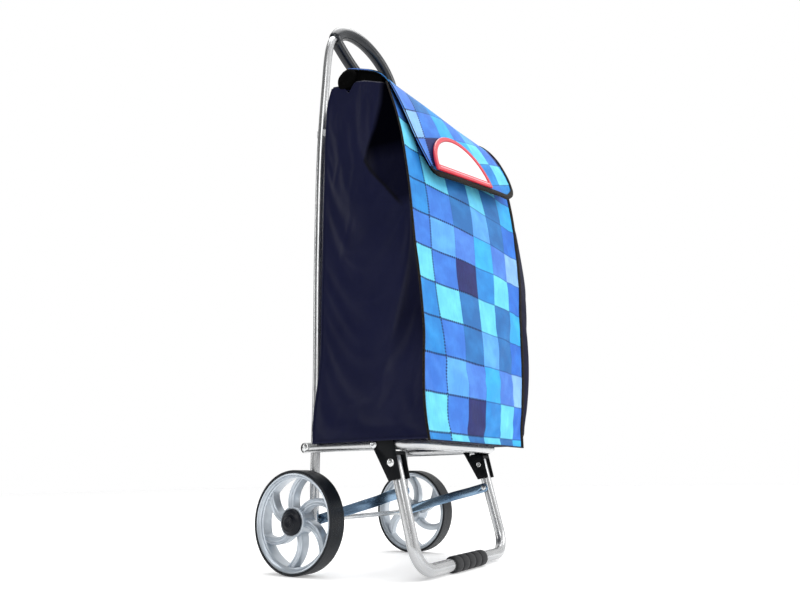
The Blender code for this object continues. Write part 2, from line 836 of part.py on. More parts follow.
def hinge_strip():
    """The soft fold of cloth between the bag's mouth and the flap."""
    radius = 0.0190
    rows = []
    for i in range(6):
        turn = math.radians(106 + 148 * i / 5)
        spot = (HINGE[0] + radius * math.cos(turn), HINGE[1] + radius * math.sin(turn))
        rows.append((*spot, BAG_HALF_WIDTH - 0.004))
    obj = cloth_sheet("flap_hinge_fold", rows, 4, CLOTH)
    finish_piece(obj, FRAME, BLACK_TAPE)


def half_disc(name, radius, lift, depth, matrix):
    """A half-round plate, flat side down, in the matrix's XY plane."""
    data = bpy.data.curves.new(name, "CURVE")
    data.dimensions = "2D"
    data.fill_mode = "BOTH"
    data.extrude = depth / 2
    spline = data.splines.new("POLY")
    start = math.asin(lift / radius)
    turns = [start + (math.pi - 2 * start) * i / 18 for i in range(19)]
    spline.points.add(len(turns) - 1)
    for slot, turn in zip(spline.points, turns):
        slot.co = (radius * math.cos(turn), radius * math.sin(turn), 0.0, 1.0)
    spline.use_cyclic_u = True
    obj = bpy.data.objects.new(name, data)
    obj.matrix_world = matrix
    PARTS.objects.link(obj)
    return as_mesh(obj)


def badge():
    """A blank half-round badge on the flap's front: a white face inside a red rim."""
    (low_forward, low_z, _), (high_forward, high_z, _) = flap_profile()[7:5:-1]
    up = Vector((0, low_forward - high_forward, high_z - low_z)).normalized()
    right = Vector((1, 0, 0))
    out = right.cross(up)
    turn = Matrix((right, up, out)).transposed().to_4x4()
    foot = place(BADGE_X, low_forward, low_z) + up * 0.002
    rim_width, rim_depth, face_depth = 0.006, 0.0026, 0.0016
    for name, radius, lift, depth, look in (
        ("badge_rim", BADGE_RADIUS, 0, rim_depth, RED_PLASTIC),
        ("badge_face", BADGE_RADIUS - rim_width - GAP, rim_width + GAP, face_depth, WHITE_PLASTIC),
    ):
        centre = foot + out * (FLAP_CLOTH / 2 + GAP * 2 + depth / 2)
        matrix = Matrix.Translation(centre) @ turn
        obj = half_disc(name, radius, lift, depth, matrix)
        if name == "badge_rim":
            window = half_disc("badge_window", radius - rim_width, rim_width, 0.02, matrix)
            combine(obj, window, "DIFFERENCE")
        finish_piece(obj, FLAP, look)


def main():
    upright(-1, "left")
    upright(1, "right")
    handle_grip()
    axle()
    base_frame()
    stand_tube()
    stand_grip()
    bag_walls()
    flap()
    hinge_strip()
    badge()
    for side, name in ((-1, "left"), (1, "right")):
        axle_fittings(side, name)
        wheel(side, name)
        base_fittings(side, name)
        bracket(side, name)
        strut(side, name)
        bag_sides(side, name)
        hanger_loop(side, name, HANGER_Z)


clear_scene()
PARTS = collection("shopping_trolley")
CUTTERS = collection("cutters")

SILVER_TUBE = material("silver_tube", (0.62, 0.62, 0.61), 0.32, 0.9)
GRIP_PLASTIC = material("grip_plastic", (0.045, 0.05, 0.055), 0.38)
BLACK_PLASTIC = material("black_plastic", (0.012, 0.012, 0.014), 0.4)
BLACK_RUBBER = material("black_rubber", (0.018, 0.018, 0.02), 0.7)
TYRE_RUBBER = material("tyre_rubber", (0.02, 0.02, 0.022), 0.6)
RIM_PLASTIC = material("rim_plastic", (0.58, 0.60, 0.61), 0.35)
WHITE_NYLON = material("white_nylon", (0.75, 0.75, 0.72), 0.5)
ZINC = material("zinc", (0.66, 0.67, 0.68), 0.28, 0.95)
ZINC_STRIP = material("zinc_strip", (0.30, 0.40, 0.50), 0.28, 0.9)
NAVY_NYLON = material("navy_nylon", (0.012, 0.011, 0.035), 0.45)
PRINTED_CLOTH = material("printed_cloth", (0.08, 0.25, 0.70), 0.6)
BLACK_TAPE = material("black_tape", (0.02, 0.018, 0.015), 0.7)
RED_PLASTIC = material("red_plastic", (0.65, 0.05, 0.08), 0.4)
WHITE_PLASTIC = material("white_plastic", (0.85, 0.83, 0.83), 0.4)

FRAME = pivot("frame_origin", place(0, 0, WHEEL_RADIUS))
BASE = pivot("base_pivot", place(0, 0, BASE_Z))
STAND = pivot("stand_pivot", place(0, *STAND_PIVOT))
FLAP = pivot("flap_hinge", place(0, *HINGE))

main()
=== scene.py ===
"""Looks of the two-wheeled shopping trolley: smooth tubes, moulded wheels and handle, and a sewn bag.

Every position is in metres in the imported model's frame: +Z up, the front at -Y, the left side at -X.
Pieces are laid out as (x, forward of the axle, height), which place() turns into that frame.
"""

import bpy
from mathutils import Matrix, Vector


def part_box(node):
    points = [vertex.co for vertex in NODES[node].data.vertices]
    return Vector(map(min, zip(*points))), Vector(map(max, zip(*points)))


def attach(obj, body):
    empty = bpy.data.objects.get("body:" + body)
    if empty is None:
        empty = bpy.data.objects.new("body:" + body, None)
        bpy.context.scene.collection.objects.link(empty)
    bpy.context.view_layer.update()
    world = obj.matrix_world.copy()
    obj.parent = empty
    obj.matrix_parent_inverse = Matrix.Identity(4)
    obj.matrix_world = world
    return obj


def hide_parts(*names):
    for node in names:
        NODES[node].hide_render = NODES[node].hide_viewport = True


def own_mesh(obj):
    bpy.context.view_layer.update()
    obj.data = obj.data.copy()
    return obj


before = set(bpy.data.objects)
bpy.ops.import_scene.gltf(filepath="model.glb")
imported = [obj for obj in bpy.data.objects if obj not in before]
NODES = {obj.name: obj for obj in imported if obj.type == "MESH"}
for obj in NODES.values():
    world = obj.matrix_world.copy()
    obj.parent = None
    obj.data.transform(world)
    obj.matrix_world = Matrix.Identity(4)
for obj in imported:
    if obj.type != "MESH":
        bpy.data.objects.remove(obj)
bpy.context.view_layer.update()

import math

import bmesh
import bpy
import numpy as np
from mathutils import Matrix, Vector

AXLE_LOW, AXLE_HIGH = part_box("axle")
AXLE_Y = (AXLE_LOW.y + AXLE_HIGH.y) / 2
AXLE_Z = (AXLE_LOW.z + AXLE_HIGH.z) / 2
SIDES = ((-1, "left"), (1, "right"))

HINGE = (0.079, 0.815)  # the flap's hinge line, (forward, height)


# Placing and mesh helpers


def place(x, forward, z):
    return Vector((x, AXLE_Y - forward, z))


def spline_value(knots, at):
    """Smooth value at a place, through (place, value) knots in rising order."""
    places = np.array([k[0] for k in knots])
    values = np.array([k[1] for k in knots])
    slopes = np.gradient(values, places)
    at = np.clip(at, places[0], places[-1])
    i = np.clip(np.searchsorted(places, at) - 1, 0, len(places) - 2)
    span = places[i + 1] - places[i]
    t = (at - places[i]) / span
    a = (1 + 2 * t) * (1 - t) ** 2 * values[i] + t * (1 - t) ** 2 * span * slopes[i]
    b = t**2 * (3 - 2 * t) * values[i + 1] + t**2 * (t - 1) * span * slopes[i + 1]
    return a + b


def new_object(name, verts, faces, uvs=None):
    """A mesh object; uvs holds one (u, v) for each vertex."""
    mesh = bpy.data.meshes.new(name)
    mesh.from_pydata([tuple(v) for v in verts], [], faces)
    mesh.validate()
    if uvs is not None:
        layer = mesh.uv_layers.new(name="UVMap")
        corner = np.zeros(len(mesh.loops), dtype=np.int32)
        mesh.loops.foreach_get("vertex_index", corner)
        layer.data.foreach_set("uv", np.asarray(uvs, float)[corner].ravel())
    mesh.shade_smooth()
    obj = bpy.data.objects.new(name, mesh)
    bpy.context.scene.collection.objects.link(obj)
    return obj


def outwards(obj, weld=False):
    """Turns the faces outwards, with doubled points welded first if asked."""
    bm = bmesh.new()
    bm.from_mesh(obj.data)
    if weld:
        bmesh.ops.remove_doubles(bm, verts=bm.verts, dist=1e-6)
    bmesh.ops.recalc_face_normals(bm, faces=bm.faces)
    bm.to_mesh(obj.data)
    bm.free()
    return obj


def crease(obj, degrees=35):
    obj.data.shade_smooth()
    obj.data.set_sharp_from_angle(angle=math.radians(degrees))
    return obj


def apply_modifiers(obj):
    bpy.context.view_layer.update()
    graph = bpy.context.evaluated_depsgraph_get()
    mesh = bpy.data.meshes.new_from_object(obj.evaluated_get(graph))
    obj.modifiers.clear()
    obj.data = mesh
    return obj


def solid(name, verts, faces, uvs=None, degrees=35, weld=False):
    """A closed mesh with its faces outwards and its edges sharp past the angle."""
    return crease(outwards(new_object(name, verts, faces, uvs), weld), degrees)


def ring_faces(rings, count, wrap=False, closed=True):
    """Faces between neighbouring rings of count points; wrap joins the last ring to the first."""
    faces = []
    for i in range(rings if wrap else rings - 1):
        here, there = i * count, (i + 1) % rings * count
        for p in range(count if closed else count - 1):
            q = (p + 1) % count
            faces.append((here + p, here + q, there + q, there + p))
    return faces


def end_faces(rings, count):
    return [tuple(range(count)), tuple(range((rings - 1) * count, rings * count))]


def blank_grid(rows, columns):
    """Empty points and UVs for a sheet of rows and columns."""
    return np.zeros((rows, columns, 3)), np.zeros((rows, columns, 2))


def edge_pins(rows, columns):
    """1 along the four edges of a sheet and 0 inside."""
    pins = np.zeros((rows, columns))
    pins[0, :] = pins[:, 0] = pins[:, -1] = pins[-1, :] = 1
    return pins


def grid_object(name, points, uvs):
    """A sheet through points[row][column]."""
    rows, columns = points.shape[:2]
    faces = []
    for r in range(rows - 1):
        for c in range(columns - 1):
            a = r * columns + c
            faces.append((a, a + 1, a + columns + 1, a + columns))
    return new_object(name, points.reshape(-1, 3), faces, uvs.reshape(-1, 2))


def join_parts(parts):
    """Joins the parts into the first of them."""
    bpy.ops.object.select_all(action="DESELECT")
    for part in parts:
        part.select_set(True)
    bpy.context.view_layer.objects.active = parts[0]
    bpy.ops.object.join()
    return parts[0]


def ease_edges(obj, width, segments, degrees):
    """Rounds every edge that is sharper than the angle."""
    ease = obj.modifiers.new("ease", "BEVEL")
    ease.width = width
    ease.segments = segments
    ease.limit_method = "ANGLE"
    ease.angle_limit = math.radians(degrees)
    return apply_modifiers(obj)


def ring_frames(path):
    """Two unit directions across the path at each of its points, without twist."""
    last = len(path) - 1
    tangents = [(path[min(i + 1, last)] - path[max(i - 1, 0)]).normalized() for i in range(len(path))]
    across = tangents[0].orthogonal().normalized()
    found = []
    for tangent in tangents:
        across = (across - tangent * across.dot(tangent)).normalized()
        found.append((across, tangent.cross(across)))
    return found


def sweep(name, path, radius, sides=28):
    """A tube along a path. radius is a number or one for each point."""
    path = [Vector(p) for p in path]
    radii = radius if isinstance(radius, list) else [radius] * len(path)
    verts, uvs, along = [], [], 0.0
    for i, (across, upward) in enumerate(ring_frames(path)):
        if i:
            along += (path[i] - path[i - 1]).length
        for s in range(sides):
            turn = math.tau * s / sides
            out = across * math.cos(turn) + upward * math.sin(turn)
            verts.append(path[i] + out * radii[i])
            uvs.append((abs(2 * s / sides - 1), along))
    faces = ring_faces(len(path), sides) + end_faces(len(path), sides)
    return solid(name, verts, faces, uvs)


def turned(profile, steps, at):
    """Points and UVs of a (radius, along) profile turned in steps; at(along, out, up) places a point."""
    verts, uvs = [], []
    for k in range(steps):
        turn = math.tau * k / steps
        for radius, along in profile:
            verts.append(at(along, radius * math.cos(turn), radius * math.sin(turn)))
            uvs.append((turn * radius, along))
    return verts, uvs


def lathe(name, profile, side, x, steps=96, closed=True):
    """Turned about the axle's line. The profile is (radius, distance outwards from x)."""
    verts, uvs = turned(
        profile, steps, lambda along, out, up: (side * (x + along), AXLE_Y + out, AXLE_Z + up)
    )
    faces = ring_faces(steps, len(profile), wrap=True, closed=closed)
    return solid(name, verts, faces, uvs, 28, weld=True)


def smooth_path(points, steps=8):
    points = [Vector(p) for p in points]
    ends = [2 * points[0] - points[1], *points, 2 * points[-1] - points[-2]]
    path = []
    for a, b, c, d in zip(ends, ends[1:], ends[2:], ends[3:]):
        for i in range(steps):
            t = i / steps
            bend = (2 * a - 5 * b + 4 * c - d) * t**2 + (3 * b - a - 3 * c + d) * t**3
            path.append(b + ((c - a) * t + bend) / 2)
    path.append(points[-1])
    return path


def rounded_path(corners, radius, steps=14):
    """The corners' path with an arc of the radius at each inner corner."""
    path = [corners[0]]
    for before, corner, after in zip(corners, corners[1:], corners[2:]):
        inward = (before - corner).normalized()
        onward = (after - corner).normalized()
        half = inward.angle(onward) / 2
        centre = corner + (inward + onward).normalized() * (radius / math.sin(half))
        first = corner + inward * (radius / math.tan(half)) - centre
        last = corner + onward * (radius / math.tan(half)) - centre
        turn, axis = first.angle(last), first.cross(last)
        for i in range(steps + 1):
            path.append(centre + Matrix.Rotation(turn * i / steps, 3, axis) @ first)
    path.append(corners[-1])
    return path


def dress(obj, look, body, replaces=()):
    """Gives the piece its material and its body, and hides the CAD nodes that it stands for."""
    obj.data.materials.clear()
    obj.data.materials.append(look)
    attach(obj, body)
    if replaces:
        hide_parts(*replaces)
    return obj


def refine(node, look, body, bevel):
    """The CAD node's shape with its edges eased, for small hard parts."""
    bm = bmesh.new()
    bm.from_mesh(NODES[node].data)
    bmesh.ops.remove_doubles(bm, verts=bm.verts, dist=2e-6)
    bmesh.ops.dissolve_limit(bm, angle_limit=0.02, verts=bm.verts, edges=bm.edges)
    mesh = bpy.data.meshes.new(f"{node}_fine")
    bm.to_mesh(mesh)
    bm.free()
    obj = bpy.data.objects.new(f"{node}_fine", mesh)
    bpy.context.scene.collection.objects.link(obj)
    crease(ease_edges(obj, bevel, 2, 40), 40)
    return dress(obj, look, body, (node,))


# Materials


def linear(red, green, blue):
    """A linear colour from 0-255 display values."""
    found = []
    for value in (red, green, blue):
        share = value / 255
        found.append(share / 12.92 if share <= 0.04045 else ((share + 0.055) / 1.055) ** 2.4)
    return (*found, 1.0)


class Look:
    """A Principled material and short calls that add nodes to it."""

    def __init__(self, name, color=None, **sockets):
        self.material = bpy.data.materials.new(name)
        self.material.use_nodes = True
        self.tree = self.material.node_tree
        self.shader = self.tree.nodes["Principled BSDF"]
        if color:
            self.shader.inputs["Base Color"].default_value = color
        for key, value in sockets.items():
            self.shader.inputs[key.replace("_", " ")].default_value = value

    def add(self, kind, inputs=None, **settings):
        made = self.tree.nodes.new("ShaderNode" + kind)
        for key, value in settings.items():
            setattr(made, key, value)
        for key, value in (inputs or {}).items():
            self.feed(made.inputs[key], value)
        return made

    def feed(self, socket, value):
        if isinstance(value, bpy.types.NodeSocket):
            self.tree.links.new(value, socket)
        else:
            socket.default_value = value

    def set(self, socket, value):
        self.feed(self.shader.inputs[socket], value)

    def done(self, color, roughness, normal):
        """Sets the three main sockets and gives the material."""
        self.set("Base Color", color)
        self.set("Roughness", roughness)
        self.set("Normal", normal)
        return self.material

    def uv(self):
        parts = self.add("SeparateXYZ", {"Vector": self.coords("UV")})
        return parts.outputs[0], parts.outputs[1]

    def wave(self, value, rate):
        return self.math("SINE", self.math("MULTIPLY", value, rate))

    def math(self, operation, *values):
        made = self.add("Math", operation=operation)
        for i, value in enumerate(values):
            self.feed(made.inputs[i], value)
        return made.outputs[0]

    def coords(self, kind="Object", scale=(1, 1, 1)):
        source = self.add("TexCoord").outputs[kind]
        mapped = self.add("Mapping", {"Vector": source, "Scale": scale})
        return mapped.outputs[0]

    def noise(self, scale, vector, detail=3.0, roughness=0.5):
        sockets = {"Vector": vector, "Scale": scale, "Detail": detail, "Roughness": roughness}
        return self.add("TexNoise", sockets).outputs["Fac"]

    def ranged(self, value, low, high, start=0.0, end=1.0):
        sockets = {"From Min": start, "From Max": end, "To Min": low, "To Max": high}
        return self.add("MapRange", {"Value": value, **sockets}).outputs[0]

    def mix(self, share, first, second, blend="MIX"):
        made = self.add("Mix", data_type="RGBA", blend_type=blend)
        for key, value in ((0, share), (6, first), (7, second)):
            self.feed(made.inputs[key], value)
        return made.outputs[2]

    def bump(self, height, strength, distance, below=None):
        sockets = {"Height": height, "Strength": strength, "Distance": distance}
        if below is not None:
            sockets["Normal"] = below
        return self.add("Bump", sockets).outputs[0]


def tube_look():
    """Silver-coated steel tube: long drawing marks, fine scratches and small dull patches."""
    look = Look("silver_tube", Metallic=0.92)
    lengthwise = look.noise(1.0, look.coords("UV", (70, 5, 1)), 5)
    patches = look.noise(14, look.coords(), 4)
    fine = look.noise(900, look.coords(), 2)
    shade = look.mix(patches, linear(168, 170, 173), linear(208, 208, 207))
    worn = look.mix(look.ranged(lengthwise, 0, 0.35, 0.4, 0.7), shade, linear(140, 142, 146))
    rough = look.ranged(look.math("ADD", lengthwise, patches), 0.20, 0.32, 0.7, 1.3)
    return look.done(worn, rough, look.bump(fine, 0.02, 0.0001, look.bump(lengthwise, 0.025, 0.0002)))


def zinc_look(name, light, dark, rough=0.16):
    """Bright zinc plate with soft cloudy patches and fine rolling marks."""
    look = Look(name, Metallic=1.0)
    clouds = look.noise(9, look.coords(), 2, 0.4)
    grain = look.noise(700, look.coords(scale=(1, 0.25, 1)), 3)
    color = look.mix(look.ranged(clouds, 0, 1, 0.38, 0.62), light, dark)
    marks = look.ranged(look.math("ADD", clouds, grain), rough, rough + 0.16, 0.7, 1.3)
    return look.done(color, marks, look.bump(grain, 0.03, 0.0001))


def plastic_look(name, color, rough, grain_scale=1400, grain=0.12, metallic=0.0, worn=None, shine=0.5):
    """Moulded plastic: spark-eroded grain, a little flow mottling and duller rubbed spots."""
    look = Look(name, Metallic=metallic, Specular_IOR_Level=shine)
    mottle = look.noise(24, look.coords(), 4)
    fine = look.noise(grain_scale, look.coords(), 2)
    other = worn or tuple(min(1, c * 1.35 + 0.003) for c in color[:3]) + (1,)
    mixed = look.mix(look.ranged(mottle, 0, 1, 0.42, 0.75), color, other)
    return look.done(mixed, look.ranged(mottle, rough - 0.05, rough + 0.09), look.bump(fine, grain, 0.0002))


def tyre_look():
    """Black tyre rubber: fine mould grain, round-and-round scuffs and a trace of dust."""
    look = Look("tyre_rubber", Specular_IOR_Level=0.3)
    scuffs = look.noise(1.0, look.coords("UV", (22, 900, 1)), 4)
    dust = look.noise(60, look.coords(), 5, 0.65)
    color = look.mix(look.ranged(dust, 0, 0.5, 0.5, 0.8), linear(8, 13, 20), linear(30, 37, 46))
    grain = look.bump(look.noise(1600, look.coords(), 2), 0.25, 0.0002)
    return look.done(color, look.ranged(scuffs, 0.34, 0.54, 0.3, 0.7), look.bump(scuffs, 0.12, 0.0002, grain))


def weave(look, pitch):
    """Height of a plain weave in UV metres: threads go over and under in turn."""
    u, v = look.uv()
    return look.math("MULTIPLY", look.wave(u, math.tau / pitch), look.wave(v, math.tau / pitch))


# The near gusset's folds, as (height, distance forward) in rising order: painted shade lies behind them
UPPER_FOLD = [(0.0, 0.195), (0.547, 0.190), (0.5895, 0.158), (0.622, 0.132), (0.645, 0.1195),
              (0.658, 0.124), (0.695, 0.1417), (0.741, 0.152), (1.0, 0.165)]
LOWER_FOLD = [(0.0, 0.120), (0.334, 0.168), (0.394, 0.183), (0.429, 0.1886), (0.5385, 0.209),
              (0.56, 0.24), (1.0, 0.30)]


def fold_curve(look, height, knots):
    """Straight lines through the knots."""
    curve = look.add("FloatCurve", {"Value": height})
    line = curve.mapping.curves[0]
    line.points[0].location, line.points[1].location = knots[0], knots[-1]
    for z, forward in knots[1:-1]:
        line.points.new(z, forward)
    for point in line.points:
        point.handle_type = "VECTOR"
    curve.mapping.update()
    return curve.outputs[0]


def gusset_shadows(look, color):
    """Painted shade: near-black colour behind the fold lines and along the upper one, where the cloth lies in
    shadow, with the gloss cut there and left between them.
    """
    forward, height = look.uv()
    # The painted shadow colour, near black, and the gloss that the painted shade cuts down
    black, gloss = linear(1, 1, 3), 0.10
    for knots, soft, shade, low, high in (
        (UPPER_FOLD, 0.005, 0.62, 0.545, 0.565),
        (UPPER_FOLD, 0.005, 0.93, 0.632, 0.664),
        (LOWER_FOLD, 0.007, 0.45, 0.30, 0.37),
    ):
        past = look.math("SUBTRACT", forward, fold_curve(look, height, knots))
        share = look.math("MULTIPLY", look.ranged(past, 0.0, shade, -soft, soft),
                          look.ranged(height, 0.0, 1.0, low, high))
        color = look.mix(share, color, black)
        gloss = look.math("MULTIPLY", gloss, look.math("SUBTRACT", 1.0, share))
    look.set("Specular IOR Level", gloss)
    # Painted shade: a near-black line along the upper fold
    line = look.math("ABSOLUTE", look.math("SUBTRACT", forward, fold_curve(look, height, UPPER_FOLD)))
    span = look.math("MULTIPLY", look.ranged(height, 0.0, 1.0, 0.545, 0.56),
                     look.ranged(height, 1.0, 0.0, 0.64, 0.655))
    near = look.math("MULTIPLY", look.ranged(line, 0.80, 0.0, 0.001, 0.006), span)
    return look.mix(near, color, black)


def nylon_look(name, gusset=False):
    """Coated navy nylon: close weave under a glossy coat that creases finely.

    With gusset, painted shade makes the cloth behind the fold lines near black. UV is then (forward, height).
    """
    look = Look(name, Specular_IOR_Level=0.10)
    blue = look.mix(look.noise(9, look.coords(), 4), linear(10, 13, 36), linear(20, 22, 48))
    if gusset:
        # Painted shade behind the near side's folds
        blue = gusset_shadows(look, blue)
    crumple = look.noise(46, look.coords(scale=(1, 1, 0.4)), 5, 0.6)
    first = look.bump(weave(look, 0.0011), 0.10, 0.0002)
    rough = look.ranged(crumple, 0.34, 0.50, 0.3, 0.7)
    return look.done(blue, rough, look.bump(crumple, 0.20, 0.0018, first))


def tape_look():
    """Dark brown-black binding tape with ribs across it."""
    look = Look("black_tape", Specular_IOR_Level=0.06, Sheen_Weight=0.05)
    ribs = look.wave(look.uv()[1], math.tau / 0.0012)
    fuzz = look.ranged(look.noise(380, look.coords(), 3), 0.0, 1.0, 0.38, 0.66)
    color, normal = look.mix(fuzz, linear(7, 7, 6), linear(40, 34, 28)), look.math("ADD", ribs, fuzz)
    return look.done(color, look.ranged(fuzz, 0.6, 0.85), look.bump(normal, 0.35, 0.0003))


def lining_look():
    """Matt black lining cloth, closely woven."""
    look = Look("black_lining", Specular_IOR_Level=0.02)
    fuzz = look.noise(260, look.coords(), 4)
    first = look.bump(weave(look, 0.0013), 0.22, 0.0002)
    normal = look.bump(look.noise(30, look.coords(), 4), 0.30, 0.002, first)
    return look.done(look.mix(fuzz, linear(1, 1, 1), linear(5, 5, 5)), look.ranged(fuzz, 0.62, 0.82), normal)


def webbing_look():
    """Pale grey woven webbing, ribbed along its length."""
    look = Look("grey_webbing", Specular_IOR_Level=0.3)
    ribs = look.wave(look.uv()[0], math.tau / 0.0016)
    fuzz = look.noise(420, look.coords(), 3)
    color, normal = look.mix(fuzz, linear(150, 152, 154), linear(196, 197, 198)), look.math("ADD", ribs, fuzz)
    return look.done(color, look.ranged(fuzz, 0.5, 0.7), look.bump(normal, 0.30, 0.0003))


BLUES = {
    "c": linear(98, 196, 230),
    "s": linear(52, 160, 228),
    "m": linear(42, 124, 196),
    "t": linear(42, 102, 164),
    "f": linear(58, 112, 200),
    "p": linear(72, 118, 204),
    "l": linear(86, 154, 226),
    "w": linear(128, 174, 228),
    "b": linear(46, 104, 198),
    "d": linear(34, 30, 82),
}
DEEP_BLUE = (0.02, 0.10, 0.36, 1.0)


def square_color(look, u, v, table):
    """The table's blue for each square: one stop of a stepped ramp for each place in the table."""
    columns = len(table[0])
    column = look.math("MINIMUM", look.math("MAXIMUM", look.math("FLOOR", u), 0.0), columns - 1.0)
    row = look.math("FLOORED_MODULO", look.math("FLOOR", v), float(len(table)))
    index = look.math("ADD", look.math("MULTIPLY", row, float(columns)), column)
    total = columns * len(table)
    ramp = look.add("ValToRGB")
    ramp.color_ramp.interpolation = "CONSTANT"
    stops = ramp.color_ramp.elements
    while len(stops) < total:
        stops.new(1.0)
    for i, key in enumerate("".join(table)):
        stops[i].position = i / total
        stops[i].color = BLUES[key]
    look.feed(ramp.inputs[0], look.math("DIVIDE", look.math("ADD", index, 0.5), float(total)))
    return ramp.outputs[0]


def seams_and_stitches(look, u, v, stitched):
    """Masks of the dark line along each seam and of the running stitches beside it."""
    seams, stitches = [], []
    bold_column = look.math("LESS_THAN", look.math("ABSOLUTE", look.math("SUBTRACT", u, stitched[0])), 0.05)
    bold_row = look.math("LESS_THAN", u, stitched[1])
    for across, along, bold, faint in ((u, v, bold_column, 0.25), (v, u, bold_row, 1.0)):
        middle = look.math("ABSOLUTE", look.math("SUBTRACT", look.math("FRACT", across), 0.5))
        edge = look.math("SUBTRACT", 0.5, middle)
        seams.append(look.ranged(edge, faint, 0.0, 0.008, 0.026))
        dash = look.math("LESS_THAN", look.math("FRACT", look.math("MULTIPLY", along, 12.0)), 0.58)
        thread = look.ranged(edge, 1.0, 0.0, 0.026, 0.036)
        strength = look.ranged(bold, 0.10, 1.0)
        stitches.append(look.math("MULTIPLY", look.math("MULTIPLY", dash, thread), strength))
    return look.math("MAXIMUM", *seams), look.math("MAXIMUM", *stitches)


def print_look(name, table, stitched):
    """Printed patchwork. UV counts squares; the table's strings give each row's colours, bottom row first.

    stitched is the column border, and the border to its right, that carry the bold running stitch.
    """
    look = Look(name, Specular_IOR_Level=0.16)
    source = look.add("TexCoord").outputs["UV"]
    parts = look.add("SeparateXYZ", {"Vector": source})
    u, v = parts.outputs[0], parts.outputs[1]
    # A faint wash, lengthwise threads and a speckle from the weave
    wash = look.ranged(look.noise(1.6, source, 3), 0, 0.55, 0.42, 0.72)
    threads = look.noise(1.0, look.coords("UV", (46, 3, 1)), 3)
    speckle = look.noise(70.0, source, 2, 0.7)
    washed = look.mix(wash, square_color(look, u, v, table), (0.86, 1.0, 1.0, 1.0), "SOFT_LIGHT")
    lined = look.mix(look.ranged(threads, 0, 0.24, 0.48, 0.75), washed, DEEP_BLUE)
    tinted = look.mix(look.ranged(speckle, 0.0, 0.16, 0.40, 0.72), lined, DEEP_BLUE)
    seam, stitch = seams_and_stitches(look, u, v, stitched)
    seamed = look.mix(look.math("MULTIPLY", seam, 0.55), tinted, linear(20, 52, 112))
    color = look.mix(look.math("MULTIPLY", stitch, 0.92), seamed, linear(8, 14, 48))
    fine = look.math("MULTIPLY", look.wave(u, math.tau * 46), look.wave(v, math.tau * 46))
    cloth = look.bump(fine, 0.14, 0.0003)
    groove = look.math("SUBTRACT", 1.0, look.math("MAXIMUM", look.math("MULTIPLY", seam, 0.6), stitch))
    return look.done(color, look.ranged(speckle, 0.50, 0.66), look.bump(groove, 0.5, 0.0006, cloth))


def badge_look(name, color, rough):
    look = Look(name, Coat_Weight=0.4, Coat_Roughness=0.12)
    haze = look.noise(40, look.coords(), 3)
    fine = look.noise(1200, look.coords(), 2)
    darker = tuple(c * 0.86 for c in color[:3]) + (1,)
    mixed = look.mix(look.ranged(haze, 0, 0.6, 0.4, 0.7), color, darker)
    return look.done(mixed, look.ranged(haze, rough, rough + 0.12), look.bump(fine, 0.05, 0.0001))


TUBE = tube_look()
ZINC = zinc_look("zinc", linear(222, 222, 220), linear(180, 184, 188))
STRIP = zinc_look("zinc_strip", linear(140, 166, 190), linear(62, 92, 122))
GRIP = plastic_look("grip_plastic", linear(13, 18, 24), 0.22, 1100, 0.06, shine=0.38)
BLACK = plastic_look("black_plastic", linear(5, 7, 10), 0.40, shine=0.10)
CAP = plastic_look("cap_plastic", linear(7, 11, 20), 0.32, shine=0.22)
RUBBER = plastic_look("black_rubber", linear(20, 21, 24), 0.56, 800, 0.3, shine=0.35)
RIM = plastic_look("rim_plastic", linear(176, 184, 192), 0.30, 1500, 0.06, 0.60, linear(196, 203, 210))
NYLON_WHITE = plastic_look("white_nylon", linear(222, 222, 216), 0.45)
TYRE = tyre_look()
NAVY = nylon_look("navy_nylon")
# The near side's navy nylon, with painted shade behind its folds
GUSSET_PAINTED_SHADE = nylon_look("navy_gusset_painted_shade", True)
TAPE = tape_look()
LINING = lining_look()
WEBBING = webbing_look()
FRONT_PRINT = print_look("front_print", ["mctcts", "cfdmcb", "flpspw", "mftltb"], (1.0, 3.0))
FLAP_PRINT = print_look("flap_print", ["ptmtfmt", "wfsflpc", "pdtscfd", "mtltmcm"], (1.0, 1.0))
RED = badge_look("badge_red", linear(205, 40, 58), 0.28)
WHITE = badge_look("badge_white", linear(232, 230, 232), 0.30)
PINK = badge_look("badge_pink", linear(244, 176, 184), 0.30)


# Frame

UPRIGHT_RADIUS, BASE_RADIUS, STAND_RADIUS = 0.0075, 0.008, 0.009
BASE_BACK, BASE_REACH, BASE_BEND = -0.008, 0.190, 0.040
ARCH_HALF, ARCH_FOOT_Z, ARCH_RISE = 0.108, 0.955, 0.070  # the handle's arch is half an ellipse
ARCH_RADIUS, BAR_RADIUS, SEAM_RADIUS = 0.0127, 0.0120, 0.0010


def upright_path():
    low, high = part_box("upright_right")
    plug_low, plug_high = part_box("upright_plug_right")
    foot_x = (plug_low.x + plug_high.x) / 2
    knots = [
        (foot_x, low.z),
        (foot_x, 0.200),
        (foot_x, 0.300),
        (0.139, 0.500),
        (0.139, 0.700),
        (0.129, 0.866),
        (0.1235, 0.925),
        (0.1165, 0.955),
        (0.1085, 0.970),
        (0.1000, 0.982),
    ]
    return smooth_path([place(x, 0, z) for x, z in knots], 12)


def frame_tubes():
    path = upright_path()
    for side, name in SIDES:
        points = [Vector((side * p.x, p.y, p.z)) for p in path]
        obj = sweep(f"upright_tube_{name}", points, UPRIGHT_RADIUS, 32)
        dress(obj, TUBE, "frame", [f"upright_{name}"])
        refine(f"upright_plug_{name}", BLACK, "frame", 0.0005)


